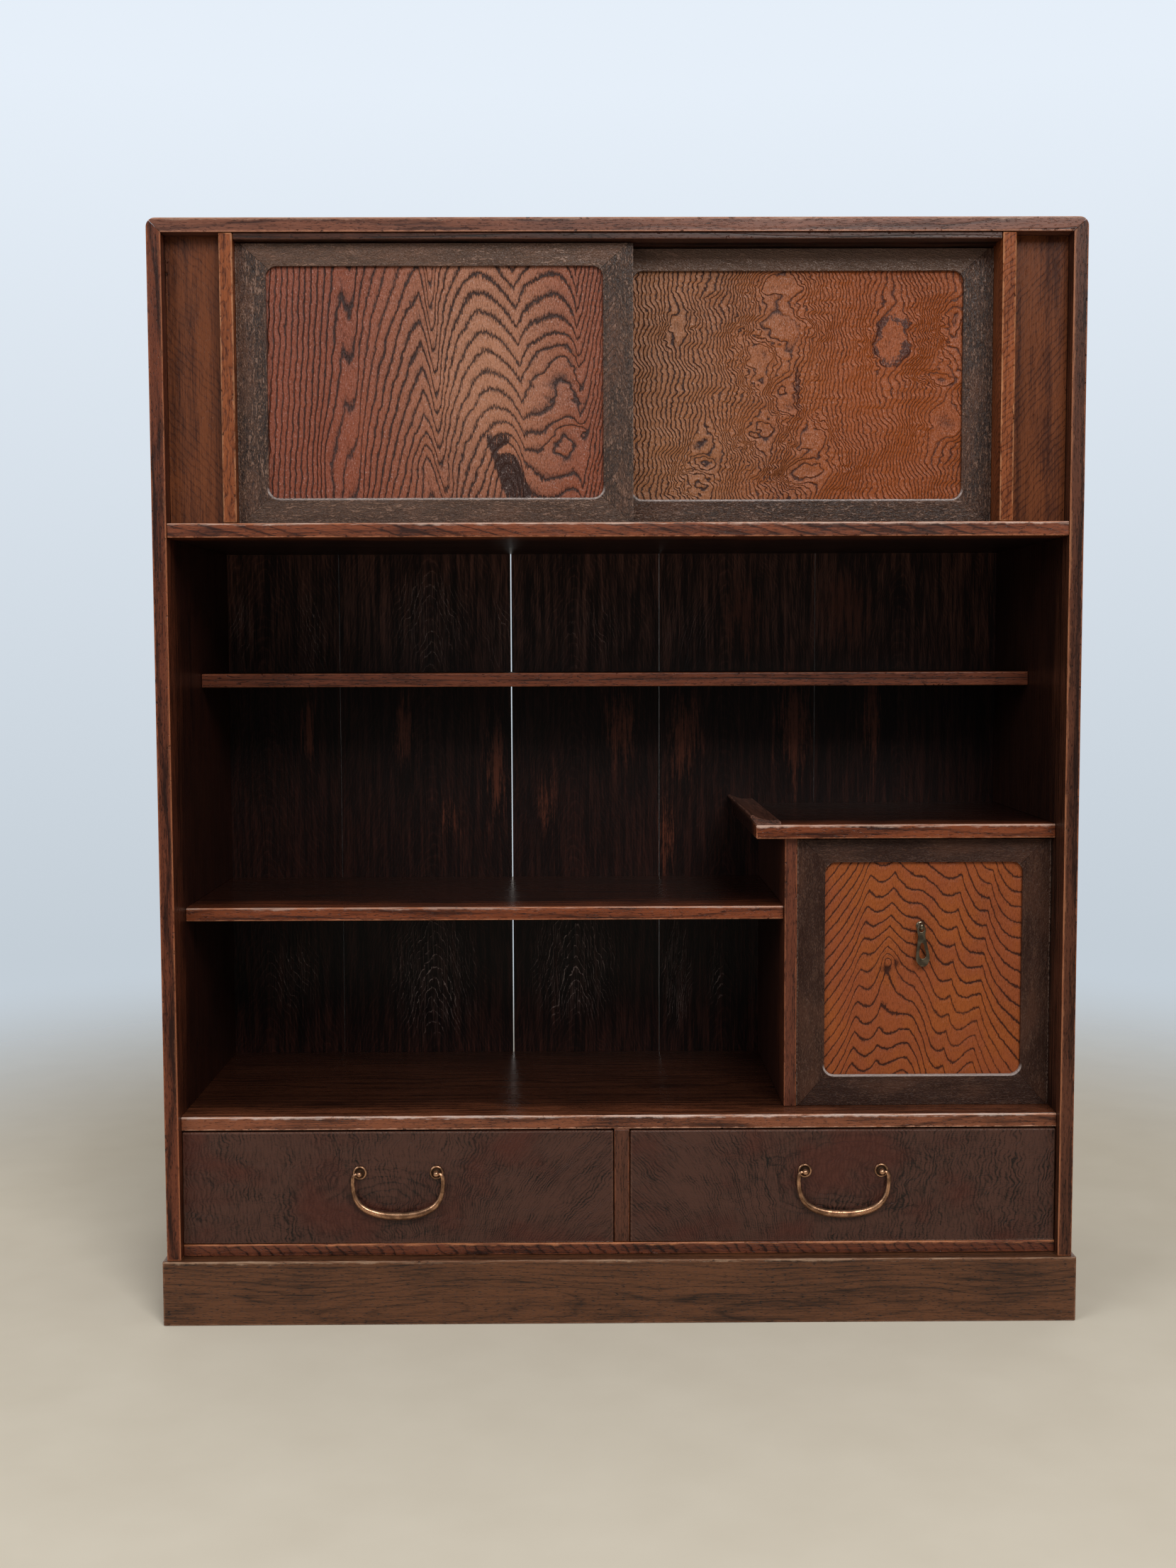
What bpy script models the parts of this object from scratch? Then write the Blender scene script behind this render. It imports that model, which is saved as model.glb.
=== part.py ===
# Japanese tea cabinet: sliding doors above, open shelves, a small lift-out door and two drawers on a plinth.
# Metres, +Z up. The front faces -Y, and the origin is the middle of the footprint at the floor.

import math

import bmesh
import bpy
from mathutils import Matrix, Vector

# Driving dimensions of the case
CASE_WIDTH = 0.909
CASE_DEPTH = 0.311
SIDE_THICK = 0.0138
TOP_THICK = 0.0135
CORNER_RADIUS = 0.0085
HOUSING_DEPTH = 0.004
HOUSING_STOP = 0.008
ARRIS = 0.0008

# Heights of the boards and of the spaces between them, from the plinth up
PLINTH_HEIGHT = 0.065
FLOOR_THICK = 0.0125
DRAWER_BAY_HEIGHT = 0.117
BOTTOM_BOARD_THICK = 0.0137
LOWER_BAY_HEIGHT = 0.1925
MIDDLE_SHELF_THICK = 0.0135
MIDDLE_BAY_HEIGHT = 0.2226
THIN_SHELF_THICK = 0.0145
UPPER_BAY_HEIGHT = 0.1342
DOOR_FLOOR_THICK = 0.014
DOOR_BAY_HEIGHT = 0.278
CUPBOARD_HEIGHT = 0.2768
CUPBOARD_TOP_THICK = 0.014

# How far each front edge stands behind the front of the case
DRAWER_SETBACK = 0.012
MIDDLE_SHELF_SETBACK = 0.052
THIN_SHELF_SETBACK = 0.150
CUPBOARD_TOP_SETBACK = 0.033
CUPBOARD_DIVIDER_SETBACK = 0.044
SMALL_DOOR_SETBACK = 0.047
POST_SETBACK = 0.001
FIXED_PANEL_SETBACK = 0.020
TRACK_SETBACK = 0.0025
FRONT_DOOR_SETBACK = 0.014

# Plinth
PLINTH_PROUD = 0.004
PLINTH_RAIL = 0.018

# Back boards: they have shrunk apart, one joint more than the others
BACK_THICK = 0.0085
BACK_REBATE = 0.007
BACK_GAP = 0.0004
BACK_WIDE_GAP = 0.0013
BACK_WIDE_JOINT = 1
BACK_WIDTH_SHARES = (0.15, 0.22, 0.19, 0.20, 0.24)

# Upper compartment
POST_WIDTH = 0.013
POST_DEPTH = 0.062
FIXED_PANEL_WIDTH = 0.0555
FIXED_PANEL_THICK = 0.008
TRACK_DROP = 0.0066
TRACK_GROOVE = 0.005
SILL_GROOVE = 0.0016

# Framed doors
DOOR_THICK = 0.021
DOOR_TRACK_GAP = 0.004
DOOR_STILE = 0.0293
DOOR_TOP_RAIL = 0.0255
DOOR_FOOT_RAIL = 0.0262
DOOR_CORNER_RADIUS = 0.0105
DOOR_PANEL_THICK = 0.006
DOOR_PANEL_INSET = 0.004
PANEL_TONGUE = 0.005
DOOR_TONGUE_THICK = 0.009
DOOR_HEAD_TONGUE = 0.0026
DOOR_FOOT_TONGUE = 0.0012
DOOR_HEAD_SHOULDER = 0.0015
DOOR_FOOT_SHOULDER = 0.0005
DOOR_END_PLAY = 0.0005

# Small lift-out door
SMALL_DOOR_THICK = 0.018
SMALL_STILE = 0.0285
SMALL_TOP_RAIL = 0.0285
SMALL_FOOT_RAIL = 0.0335
SMALL_HEAD_GROOVE = 0.0058
SMALL_SILL_GROOVE = 0.002
SMALL_HEAD_TONGUE = 0.0026
SMALL_FOOT_TONGUE = 0.0017
SMALL_HEAD_SHOULDER = 0.0024

# Cupboard wall and the brush stop on the shelf above it
DIVIDER_THICK = 0.0127
CUPBOARD_WIDTH = 0.259
CUPBOARD_OVERHANG = 0.0302
STOP_WIDTH = 0.0248
STOP_THICK = 0.005
STOP_LIP_HEIGHT = 0.0097
STOP_LIP_REACH = 0.0058
STOP_LIP_ROUND = 0.0018
STOP_HOLLOW_SAG = 0.0012

# Drawers
DRAWER_DIVIDER_WIDTH = 0.0156
DRAWER_DIVIDER_OFFSET = 0.0022
DRAWER_SIDE_PLAY = 0.0008
DRAWER_TOP_PLAY = 0.0019
DRAWER_FOOT_PLAY = 0.0005
DRAWER_BACK_PLAY = 0.006
DRAWER_FRONT_THICK = 0.018
DRAWER_SIDE_THICK = 0.009
DRAWER_BACK_THICK = 0.009
DRAWER_BOTTOM_THICK = 0.006
DRAWER_LAP = 0.010
DRAWER_SIDE_DROP = 0.003

# Bail handles
HANDLE_SPACING = 0.0772
HANDLE_RISE = 0.0156
HANDLE_STANDOFF = 0.0065
BALL_RADIUS = 0.0031
BALL_BORE_RADIUS = 0.0013
NECK_RADIUS = 0.0019
STEM_RADIUS = 0.0018
RIVET_RADIUS = 0.0032
RIVET_THICK = 0.001
ROSETTE_RADIUS = 0.0071
ROSETTE_RIM = 0.0024
ROSETTE_RIM_HEIGHT = 0.0019
ROSETTE_DISH_HEIGHT = 0.0008
BAIL_HALF_WIDTH = 0.0452
BAIL_DROP = 0.0432
BAIL_ARM_RADIUS = 0.0016
BAIL_GRIP_RADIUS = 0.0040
BAIL_PIN_RADIUS = 0.001
BAIL_PIN_REACH = 0.0022

# Drop pull of the small door
PULL_OFFSET_X = -0.0027
PULL_EYE_HEIGHT = 0.0465
PULL_EYE_STANDOFF = 0.0064
PULL_RING_RADIUS = 0.0032
PULL_WIRE_RADIUS = 0.0011
PULL_DOME_RADIUS = 0.0046
PULL_DOME_HEIGHT = 0.0014
PULL_DOME_SHOULDER_SHARES = (0.7, 0.75)
PULL_STEM_RADIUS = 0.0014
PULL_PLATE_THICK = 0.002
PULL_HEAD_RADIUS = 0.0045
PULL_HOLE_RADIUS = 0.0023
PULL_NECK_HALF = 0.0041
PULL_NECK_DROP = 0.0105
PULL_BELLY_HALF = 0.0070
PULL_BELLY_DROP = 0.0295
PULL_TIP_DROP = 0.0382
PULL_TIP_HALF = 0.0024
PULL_CHEEK_SHARES = (0.86, 0.45)
PULL_SLOT_TOP = 0.0150
PULL_SLOT_TOP_RADIUS = 0.0014
PULL_SLOT_FOOT = 0.0262
PULL_SLOT_FOOT_RADIUS = 0.0034
PULL_TILT = math.radians(3.3)

# Clearances and modelling allowances
GLUE_GAP = 0.0003
BORE_GAP = 0.0003
OVERRUN = 0.004
TURN_STEPS = 16
WIRE_SIDES_RESOLUTION = 2
BAIL_STEPS_PER_SPAN = 3
ARC_STEPS = 4
FLAT_ANGLE = math.radians(0.5)
ARRIS_ANGLE = math.radians(50)
WELD_DISTANCE = 0.00001

# Places worked out from the dimensions
HALF_WIDTH = CASE_WIDTH / 2
INNER_HALF = HALF_WIDTH - SIDE_THICK
FRONT_Y = PLINTH_PROUD - (CASE_DEPTH + PLINTH_PROUD) / 2
BACK_Y = FRONT_Y + CASE_DEPTH
BACK_FACE_Y = BACK_Y - BACK_THICK - GLUE_GAP
SHELF_BACK_Y = BACK_FACE_Y - GLUE_GAP

CASE_Z = PLINTH_HEIGHT + GLUE_GAP
FLOOR_TOP = PLINTH_HEIGHT + FLOOR_THICK
BOTTOM_BOARD_Z = FLOOR_TOP + DRAWER_BAY_HEIGHT
BOTTOM_BOARD_TOP = BOTTOM_BOARD_Z + BOTTOM_BOARD_THICK
MIDDLE_SHELF_Z = BOTTOM_BOARD_TOP + LOWER_BAY_HEIGHT
MIDDLE_SHELF_TOP = MIDDLE_SHELF_Z + MIDDLE_SHELF_THICK
THIN_SHELF_Z = MIDDLE_SHELF_TOP + MIDDLE_BAY_HEIGHT
THIN_SHELF_TOP = THIN_SHELF_Z + THIN_SHELF_THICK
DOOR_FLOOR_Z = THIN_SHELF_TOP + UPPER_BAY_HEIGHT
DOOR_FLOOR_TOP = DOOR_FLOOR_Z + DOOR_FLOOR_THICK
TOP_Z = DOOR_FLOOR_TOP + DOOR_BAY_HEIGHT
CASE_TOP = TOP_Z + TOP_THICK
CUPBOARD_TOP_Z = BOTTOM_BOARD_TOP + CUPBOARD_HEIGHT
CUPBOARD_TOP_TOP = CUPBOARD_TOP_Z + CUPBOARD_TOP_THICK

DIVIDER_RIGHT = INNER_HALF - CUPBOARD_WIDTH
DIVIDER_LEFT = DIVIDER_RIGHT - DIVIDER_THICK
CUPBOARD_TOP_LEFT = DIVIDER_LEFT - CUPBOARD_OVERHANG

POST_OUTER = INNER_HALF - FIXED_PANEL_WIDTH
POST_INNER = POST_OUTER - POST_WIDTH
TRACK_Z = TOP_Z - TRACK_DROP
FRONT_DOOR_Y = FRONT_Y + FRONT_DOOR_SETBACK
REAR_DOOR_Y = FRONT_DOOR_Y + DOOR_THICK + DOOR_TRACK_GAP
DOOR_RUN = 2 * (POST_INNER - DOOR_END_PLAY)
DOOR_WIDTH = (DOOR_RUN + DOOR_STILE) / 2
DOOR_FOOT_Z = DOOR_FLOOR_TOP - DOOR_FOOT_TONGUE
DOOR_HEAD_Z = TRACK_Z + DOOR_HEAD_TONGUE

COLLECTION_NAME = "tea_cabinet"
CUTTER_COLLECTION_NAME = "tea_cabinet_cutters"


def clear_scene():
    for old in list(bpy.data.objects):
        bpy.data.objects.remove(old, do_unlink=True)


def make_collection(name):
    collection = bpy.data.collections.new(name)
    bpy.context.scene.collection.children.link(collection)
    return collection


clear_scene()
PARTS = make_collection(COLLECTION_NAME)
CUTTERS = make_collection(CUTTER_COLLECTION_NAME)


# Materials, one for each object

def wood(colour, roughness=0.38):
    return {"colour": colour, "roughness": roughness, "metallic": 0.0}


def metal(colour, roughness=0.42):
    return {"colour": colour, "roughness": roughness, "metallic": 1.0}


CASE_WOOD = wood((0.115, 0.036, 0.017))
SHELF_WOOD = wood((0.105, 0.034, 0.017))
BACK_WOOD = wood((0.045, 0.017, 0.011), 0.45)
FRAME_WOOD = wood((0.047, 0.025, 0.018), 0.42)
PANEL_WOOD = wood((0.235, 0.067, 0.026), 0.35)
POST_WOOD = wood((0.200, 0.065, 0.025), 0.40)
DRAWER_WOOD = wood((0.070, 0.028, 0.019), 0.40)
DRAWER_INNER_WOOD = wood((0.330, 0.205, 0.110), 0.60)
PLINTH_WOOD = wood((0.095, 0.035, 0.018), 0.45)
BRONZE = metal((0.330, 0.190, 0.110))
PULL_BRONZE = metal((0.175, 0.140, 0.100), 0.50)


def give_material(obj, look):
    material = bpy.data.materials.new(obj.name)
    material.use_nodes = True
    shader = material.node_tree.nodes["Principled BSDF"]
    shader.inputs["Base Color"].default_value = (*look["colour"], 1.0)
    shader.inputs["Roughness"].default_value = look["roughness"]
    shader.inputs["Metallic"].default_value = look["metallic"]
    obj.data.materials.append(material)
    return obj


# Helpers that make a shape

def add_box(name, low, high, collection=None):
    """A box between two corners, started from a cube."""
    low, high = Vector(low), Vector(high)
    size = high - low
    mesh = bpy.data.meshes.new(name)
    bm = bmesh.new()
    bmesh.ops.create_cube(bm, size=1.0)
    bmesh.ops.scale(bm, vec=size, verts=bm.verts)
    bm.to_mesh(mesh)
    bm.free()
    obj = bpy.data.objects.new(name, mesh)
    obj.location = (low + high) / 2
    (collection or PARTS).objects.link(obj)
    return obj


def hide_cutter(cutter):
    cutter.hide_render = True
    cutter.display_type = "WIRE"
    return cutter


def box_cutter(name, low, high):
    return hide_cutter(add_box(name, low, high, CUTTERS))


def cylinder_cutter(name, centre, direction, radius, length):
    """A round cutter whose middle is at centre, along direction."""
    mesh = bpy.data.meshes.new(name)
    bm = bmesh.new()
    bmesh.ops.create_cone(bm, cap_ends=True, segments=TURN_STEPS, radius1=radius, radius2=radius,
                          depth=length)
    turn = Vector((0, 0, 1)).rotation_difference(Vector(direction)).to_matrix().to_4x4()
    bmesh.ops.transform(bm, matrix=turn, verts=bm.verts)
    bm.to_mesh(mesh)
    bm.free()
    cutter = bpy.data.objects.new(name, mesh)
    cutter.location = centre
    CUTTERS.objects.link(cutter)
    return hide_cutter(cutter)


def boolean(obj, other, operation="DIFFERENCE"):
    modifier = obj.modifiers.new(other.name, "BOOLEAN")
    modifier.operation = operation
    modifier.object = other
    return obj


def bevel(obj, width=ARRIS):
    modifier = obj.modifiers.new("worn_arris", "BEVEL")
    modifier.width = width
    modifier.segments = 1
    modifier.limit_method = "ANGLE"
    modifier.angle_limit = ARRIS_ANGLE
    return obj


def mesh_from_curve(curve_object, name):
    """Replace a curve by a mesh with welded caps, so that it can be cut."""
    bpy.context.view_layer.update()
    evaluated = curve_object.evaluated_get(bpy.context.evaluated_depsgraph_get())
    mesh = bpy.data.meshes.new_from_object(evaluated)
    mesh.name = name
    place = curve_object.matrix_world.copy()
    bpy.data.objects.remove(curve_object, do_unlink=True)
    bm = bmesh.new()
    bm.from_mesh(mesh)
    bmesh.ops.remove_doubles(bm, verts=bm.verts, dist=WELD_DISTANCE)
    bmesh.ops.recalc_face_normals(bm, faces=bm.faces)
    bmesh.ops.dissolve_limit(bm, angle_limit=FLAT_ANGLE, verts=bm.verts, edges=bm.edges)
    bm.to_mesh(mesh)
    bm.free()
    obj = bpy.data.objects.new(name, mesh)
    obj.matrix_world = place
    PARTS.objects.link(obj)
    return obj


def flat_outline(name, loops, thickness):
    """A flat 2D curve of closed loops in its own XY plane, thickness centred on it."""
    curve = bpy.data.curves.new(name, "CURVE")
    curve.dimensions = "2D"
    curve.fill_mode = "BOTH"
    curve.extrude = thickness / 2
    for points in loops:
        spline = curve.splines.new("POLY")
        spline.points.add(len(points) - 1)
        for target, (x, y) in zip(spline.points, points):
            target.co = (x, y, 0.0, 1.0)
        spline.use_cyclic_u = True
    obj = bpy.data.objects.new(name, curve)
    PARTS.objects.link(obj)
    return obj


def plan_slab(name, points, low_z, high_z):
    """A board drawn in plan, from low_z to high_z."""
    obj = flat_outline(name, [points], high_z - low_z)
    obj.location.z = (low_z + high_z) / 2
    return mesh_from_curve(obj, name)


def front_slab(name, loops, front_y, back_y):
    """A board drawn as seen from the front, from front_y back to back_y."""
    obj = flat_outline(name, loops, back_y - front_y)
    obj.rotation_euler = (math.pi / 2, 0, 0)
    obj.location.y = (front_y + back_y) / 2
    return mesh_from_curve(obj, name)


def arc(centre, radius, start_deg, end_deg, steps=ARC_STEPS):
    """Points on an arc, both ends included."""
    points = []
    for step in range(steps + 1):
        angle = math.radians(start_deg + (end_deg - start_deg) * step / steps)
        points.append((centre[0] + radius * math.cos(angle), centre[1] + radius * math.sin(angle)))
    return points


def turned(name, profile, steps=TURN_STEPS):
    """A solid turned about the Z axis, its profile at +X from top to bottom, joined at the axis."""
    mesh = bpy.data.meshes.new(name)
    bm = bmesh.new()
    verts = [bm.verts.new((x, 0.0, z)) for x, z in profile]
    for first, second in zip(verts, verts[1:]):
        bm.edges.new((first, second))
    bm.to_mesh(mesh)
    bm.free()
    obj = bpy.data.objects.new(name, mesh)
    PARTS.objects.link(obj)
    screw = obj.modifiers.new("turn", "SCREW")
    screw.axis = "Z"
    screw.steps = steps
    screw.render_steps = steps
    screw.use_merge_vertices = True
    screw.merge_threshold = WELD_DISTANCE
    return obj


# Case

def corner_centre(side):
    return (side * (HALF_WIDTH - CORNER_RADIUS), CASE_TOP - CORNER_RADIUS)


def make_side_board(name, side):
    """side is -1 for the left board and 1 for the right one. Its head is mitred to the top board."""
    slack = GLUE_GAP / 2
    cx, cz = corner_centre(1)
    outer_arc = [(x, z - slack) for x, z in arc((cx, cz), CORNER_RADIUS, 0, 45)]
    points = [(INNER_HALF, CASE_Z), (HALF_WIDTH, CASE_Z), *outer_arc, (INNER_HALF, TOP_Z - 2 * slack)]
    points = [(side * x, z) for x, z in points]
    board = front_slab(name, [points], FRONT_Y, BACK_Y)
    reach = INNER_HALF + HOUSING_DEPTH + GLUE_GAP
    for label, low_z, high_z, setback in HOUSED_BOARDS[side]:
        low = (side * (INNER_HALF - OVERRUN), FRONT_Y + setback + HOUSING_STOP - GLUE_GAP, low_z - GLUE_GAP)
        high = (side * reach, SHELF_BACK_Y + GLUE_GAP, high_z + GLUE_GAP)
        cutter = box_cutter(f"{name}_{label}_housing", *ordered(low, high))
        boolean(board, cutter)
    low = (side * (INNER_HALF - OVERRUN), BACK_FACE_Y - GLUE_GAP, CASE_Z - OVERRUN)
    high = (side * (INNER_HALF + BACK_REBATE + GLUE_GAP), BACK_Y + OVERRUN, TOP_Z + BACK_REBATE)
    boolean(board, box_cutter(f"{name}_back_rebate", *ordered(low, high)))
    return give_material(board, CASE_WOOD)


def ordered(first, second):
    """The low and the high corner of the box between two corners."""
    low = tuple(min(a, b) for a, b in zip(first, second))
    high = tuple(max(a, b) for a, b in zip(first, second))
    return low, high


def make_top_board():
    slack = GLUE_GAP / 2
    cx, cz = corner_centre(1)
    right_arc = [(x - slack, z) for x, z in arc((cx, cz), CORNER_RADIUS, 45, 90)]
    left_arc = [(-x, z) for x, z in reversed(right_arc)]
    inner = INNER_HALF - slack
    points = [(-inner, TOP_Z), (inner, TOP_Z), *right_arc, *left_arc]
    board = front_slab("top_board", [points], FRONT_Y, BACK_Y)
    low = (-HALF_WIDTH, BACK_FACE_Y - GLUE_GAP, TOP_Z - OVERRUN)
    high = (HALF_WIDTH, BACK_Y + OVERRUN, TOP_Z + BACK_REBATE + GLUE_GAP)
    boolean(board, box_cutter("top_board_back_rebate", low, high))
    return give_material(board, CASE_WOOD)


HOUSED_BOARDS = {
    -1: [
        ("floor", FLOOR_TOP - FLOOR_THICK + GLUE_GAP, FLOOR_TOP, DRAWER_SETBACK),
        ("bottom", BOTTOM_BOARD_Z, BOTTOM_BOARD_TOP, DRAWER_SETBACK),
        ("middle", MIDDLE_SHELF_Z, MIDDLE_SHELF_TOP, MIDDLE_SHELF_SETBACK),
        ("thin", THIN_SHELF_Z, THIN_SHELF_TOP, THIN_SHELF_SETBACK),
        ("door_floor", DOOR_FLOOR_Z, DOOR_FLOOR_TOP, POST_SETBACK),
    ],
    1: [
        ("floor", FLOOR_TOP - FLOOR_THICK + GLUE_GAP, FLOOR_TOP, DRAWER_SETBACK),
        ("bottom", BOTTOM_BOARD_Z, BOTTOM_BOARD_TOP, DRAWER_SETBACK),
        ("cupboard_top", CUPBOARD_TOP_Z, CUPBOARD_TOP_TOP, CUPBOARD_TOP_SETBACK),
        ("thin", THIN_SHELF_Z, THIN_SHELF_TOP, THIN_SHELF_SETBACK),
        ("door_floor", DOOR_FLOOR_Z, DOOR_FLOOR_TOP, POST_SETBACK),
    ],
}


def make_shelf(name, left, right, setback, low_z, high_z, look=SHELF_WOOD, left_housed=True,
               right_housed=True):
    """A board whose housed ends reach into the walls behind a stop, so that no housing shows in front."""
    front = FRONT_Y + setback
    low_x = left - HOUSING_DEPTH if left_housed else left
    high_x = right + HOUSING_DEPTH if right_housed else right
    board = bevel(add_box(name, (low_x, front, low_z), (high_x, SHELF_BACK_Y, high_z)))
    ends = [("left", left_housed, low_x - OVERRUN, left + GLUE_GAP),
            ("right", right_housed, right - GLUE_GAP, high_x + OVERRUN)]
    for label, housed, cut_left, cut_right in ends:
        if housed:
            boolean(board, box_cutter(f"{name}_{label}_stop", (cut_left, front - OVERRUN, low_z - OVERRUN),
                                      (cut_right, front + HOUSING_STOP, high_z + OVERRUN)))
    return give_material(board, look)


def make_door_floor():
    board = make_shelf("door_floor_board", -INNER_HALF, INNER_HALF, POST_SETBACK, DOOR_FLOOR_Z,
                       DOOR_FLOOR_TOP)
    for label, door_y in (("front", FRONT_DOOR_Y), ("rear", REAR_DOOR_Y)):
        cut_track(board, f"sill_{label}_groove", door_y, DOOR_THICK, DOOR_FLOOR_TOP - SILL_GROOVE,
                  DOOR_FLOOR_TOP + OVERRUN, POST_INNER)
    return board


def tongue_span(door_y, door_thick, play=0.0):
    """The depth range of a door's tongue, in the middle of its thickness."""
    middle = door_y + door_thick / 2
    half = DOOR_TONGUE_THICK / 2 + play
    return middle - half, middle + half


def cut_track(board, name, door_y, door_thick, low_z, high_z, half_run):
    low_y, high_y = tongue_span(door_y, door_thick, DOOR_END_PLAY)
    boolean(board, box_cutter(name, (-half_run, low_y, low_z), (half_run, high_y, high_z)))


def make_upper_track():
    half = POST_INNER - GLUE_GAP
    front = FRONT_Y + TRACK_SETBACK
    board = add_box("upper_track", (-half, front, TRACK_Z), (half, FRONT_Y + POST_DEPTH, TOP_Z - GLUE_GAP))
    bevel(board)
    for label, door_y in (("front", FRONT_DOOR_Y), ("rear", REAR_DOOR_Y)):
        cut_track(board, f"head_{label}_groove", door_y, DOOR_THICK, TRACK_Z - OVERRUN,
                  TRACK_Z + TRACK_GROOVE, half + OVERRUN)
    return give_material(board, CASE_WOOD)


def make_posts_and_fixed_panels():
    low_z, high_z = DOOR_FLOOR_TOP + GLUE_GAP, TOP_Z - GLUE_GAP
    for label, side in (("left", -1), ("right", 1)):
        low = (side * POST_INNER, FRONT_Y + POST_SETBACK, low_z)
        high = (side * POST_OUTER, FRONT_Y + POST_DEPTH, high_z)
        post = bevel(add_box(f"{label}_post", *ordered(low, high)))
        give_material(post, POST_WOOD)
        front = FRONT_Y + FIXED_PANEL_SETBACK
        low = (side * (POST_OUTER + GLUE_GAP), front, low_z)
        high = (side * (INNER_HALF - GLUE_GAP), front + FIXED_PANEL_THICK, high_z)
        give_material(add_box(f"{label}_fixed_panel", *ordered(low, high)), CASE_WOOD)


def make_back_boards():
    half = INNER_HALF + BACK_REBATE
    left = -half
    low_z, high_z = CASE_Z, TOP_Z + BACK_REBATE
    for index, share in enumerate(BACK_WIDTH_SHARES):
        right = left + 2 * half * share
        gap_before = 0.0 if index == 0 else joint_gap(index - 1) / 2
        gap_after = 0.0 if index == len(BACK_WIDTH_SHARES) - 1 else joint_gap(index) / 2
        low = (left + gap_before, BACK_FACE_Y, low_z)
        high = (right - gap_after, BACK_FACE_Y + BACK_THICK, high_z)
        give_material(add_box(f"back_board_{index + 1}", low, high), BACK_WOOD)
        left = right


def joint_gap(joint):
    return BACK_WIDE_GAP if joint == BACK_WIDE_JOINT else BACK_GAP


def make_plinth():
    outer = HALF_WIDTH + PLINTH_PROUD
    inner = outer - PLINTH_RAIL
    front, back = FRONT_Y - PLINTH_PROUD, BACK_Y
    front_inner, back_inner = front + PLINTH_RAIL, back - PLINTH_RAIL
    slack = GLUE_GAP / 2
    plans = {
        "plinth_front": [(-outer + slack, front), (outer - slack, front),
                         (inner - slack, front_inner), (-inner + slack, front_inner)],
        "plinth_back": [(-inner + slack, back_inner), (inner - slack, back_inner),
                        (outer - slack, back), (-outer + slack, back)],
        "plinth_left": [(-outer, front + slack), (-inner, front_inner + slack),
                        (-inner, back_inner - slack), (-outer, back - slack)],
        "plinth_right": [(inner, front_inner + slack), (outer, front + slack),
                         (outer, back - slack), (inner, back_inner - slack)],
    }
    for name, points in plans.items():
        give_material(plan_slab(name, points, 0.0, PLINTH_HEIGHT), PLINTH_WOOD)


def make_case():
    make_side_board("left_side_board", -1)
    make_side_board("right_side_board", 1)
    make_top_board()
    make_shelf("floor_board", -INNER_HALF, INNER_HALF, DRAWER_SETBACK, CASE_Z, FLOOR_TOP)
    make_bottom_board()
    make_door_floor()
    make_upper_track()
    make_posts_and_fixed_panels()
    make_back_boards()
    make_plinth()


def make_bottom_board():
    """The board over the drawers. It carries the cupboard's divider and the small door's lower groove."""
    board = make_shelf("bottom_board", -INNER_HALF, INNER_HALF, DRAWER_SETBACK, BOTTOM_BOARD_Z,
                       BOTTOM_BOARD_TOP)
    housing_z = BOTTOM_BOARD_TOP - HOUSING_DEPTH - GLUE_GAP
    boolean(board, divider_housing("bottom_board_divider_housing", housing_z, BOTTOM_BOARD_TOP + OVERRUN))
    low_y, high_y = tongue_span(FRONT_Y + SMALL_DOOR_SETBACK, SMALL_DOOR_THICK, DOOR_END_PLAY)
    low = (DIVIDER_RIGHT, low_y, BOTTOM_BOARD_TOP - SMALL_SILL_GROOVE)
    high = (INNER_HALF - GLUE_GAP, high_y, BOTTOM_BOARD_TOP + OVERRUN)
    boolean(board, box_cutter("small_sill_groove", low, high))
    return board


# Shelves and the cupboard

def divider_housing(name, low_z, high_z):
    low = (DIVIDER_LEFT - GLUE_GAP, FRONT_Y + CUPBOARD_DIVIDER_SETBACK + HOUSING_STOP - GLUE_GAP, low_z)
    high = (DIVIDER_RIGHT + GLUE_GAP, SHELF_BACK_Y + OVERRUN, high_z)
    return box_cutter(name, low, high)


def make_cupboard_divider():
    """The cupboard's left wall, let into the boards above and below it behind a stop."""
    front = FRONT_Y + CUPBOARD_DIVIDER_SETBACK
    low_z, high_z = BOTTOM_BOARD_TOP - HOUSING_DEPTH, CUPBOARD_TOP_Z + HOUSING_DEPTH
    wall = bevel(add_box("cupboard_divider", (DIVIDER_LEFT, front, low_z),
                         (DIVIDER_RIGHT, SHELF_BACK_Y, high_z)))
    for label, cut_low, cut_high in (("foot", low_z - OVERRUN, BOTTOM_BOARD_TOP + GLUE_GAP),
                                     ("head", CUPBOARD_TOP_Z - GLUE_GAP, high_z + OVERRUN)):
        boolean(wall, box_cutter(f"divider_{label}_stop", (DIVIDER_LEFT - OVERRUN, front - OVERRUN, cut_low),
                                 (DIVIDER_RIGHT + OVERRUN, front + HOUSING_STOP, cut_high)))
    cut_low = (DIVIDER_LEFT - OVERRUN, FRONT_Y + MIDDLE_SHELF_SETBACK + HOUSING_STOP - GLUE_GAP,
               MIDDLE_SHELF_Z - GLUE_GAP)
    cut_high = (DIVIDER_LEFT + HOUSING_DEPTH + GLUE_GAP, SHELF_BACK_Y + OVERRUN, MIDDLE_SHELF_TOP + GLUE_GAP)
    boolean(wall, box_cutter("middle_shelf_housing", cut_low, cut_high))
    return give_material(wall, SHELF_WOOD)


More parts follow.
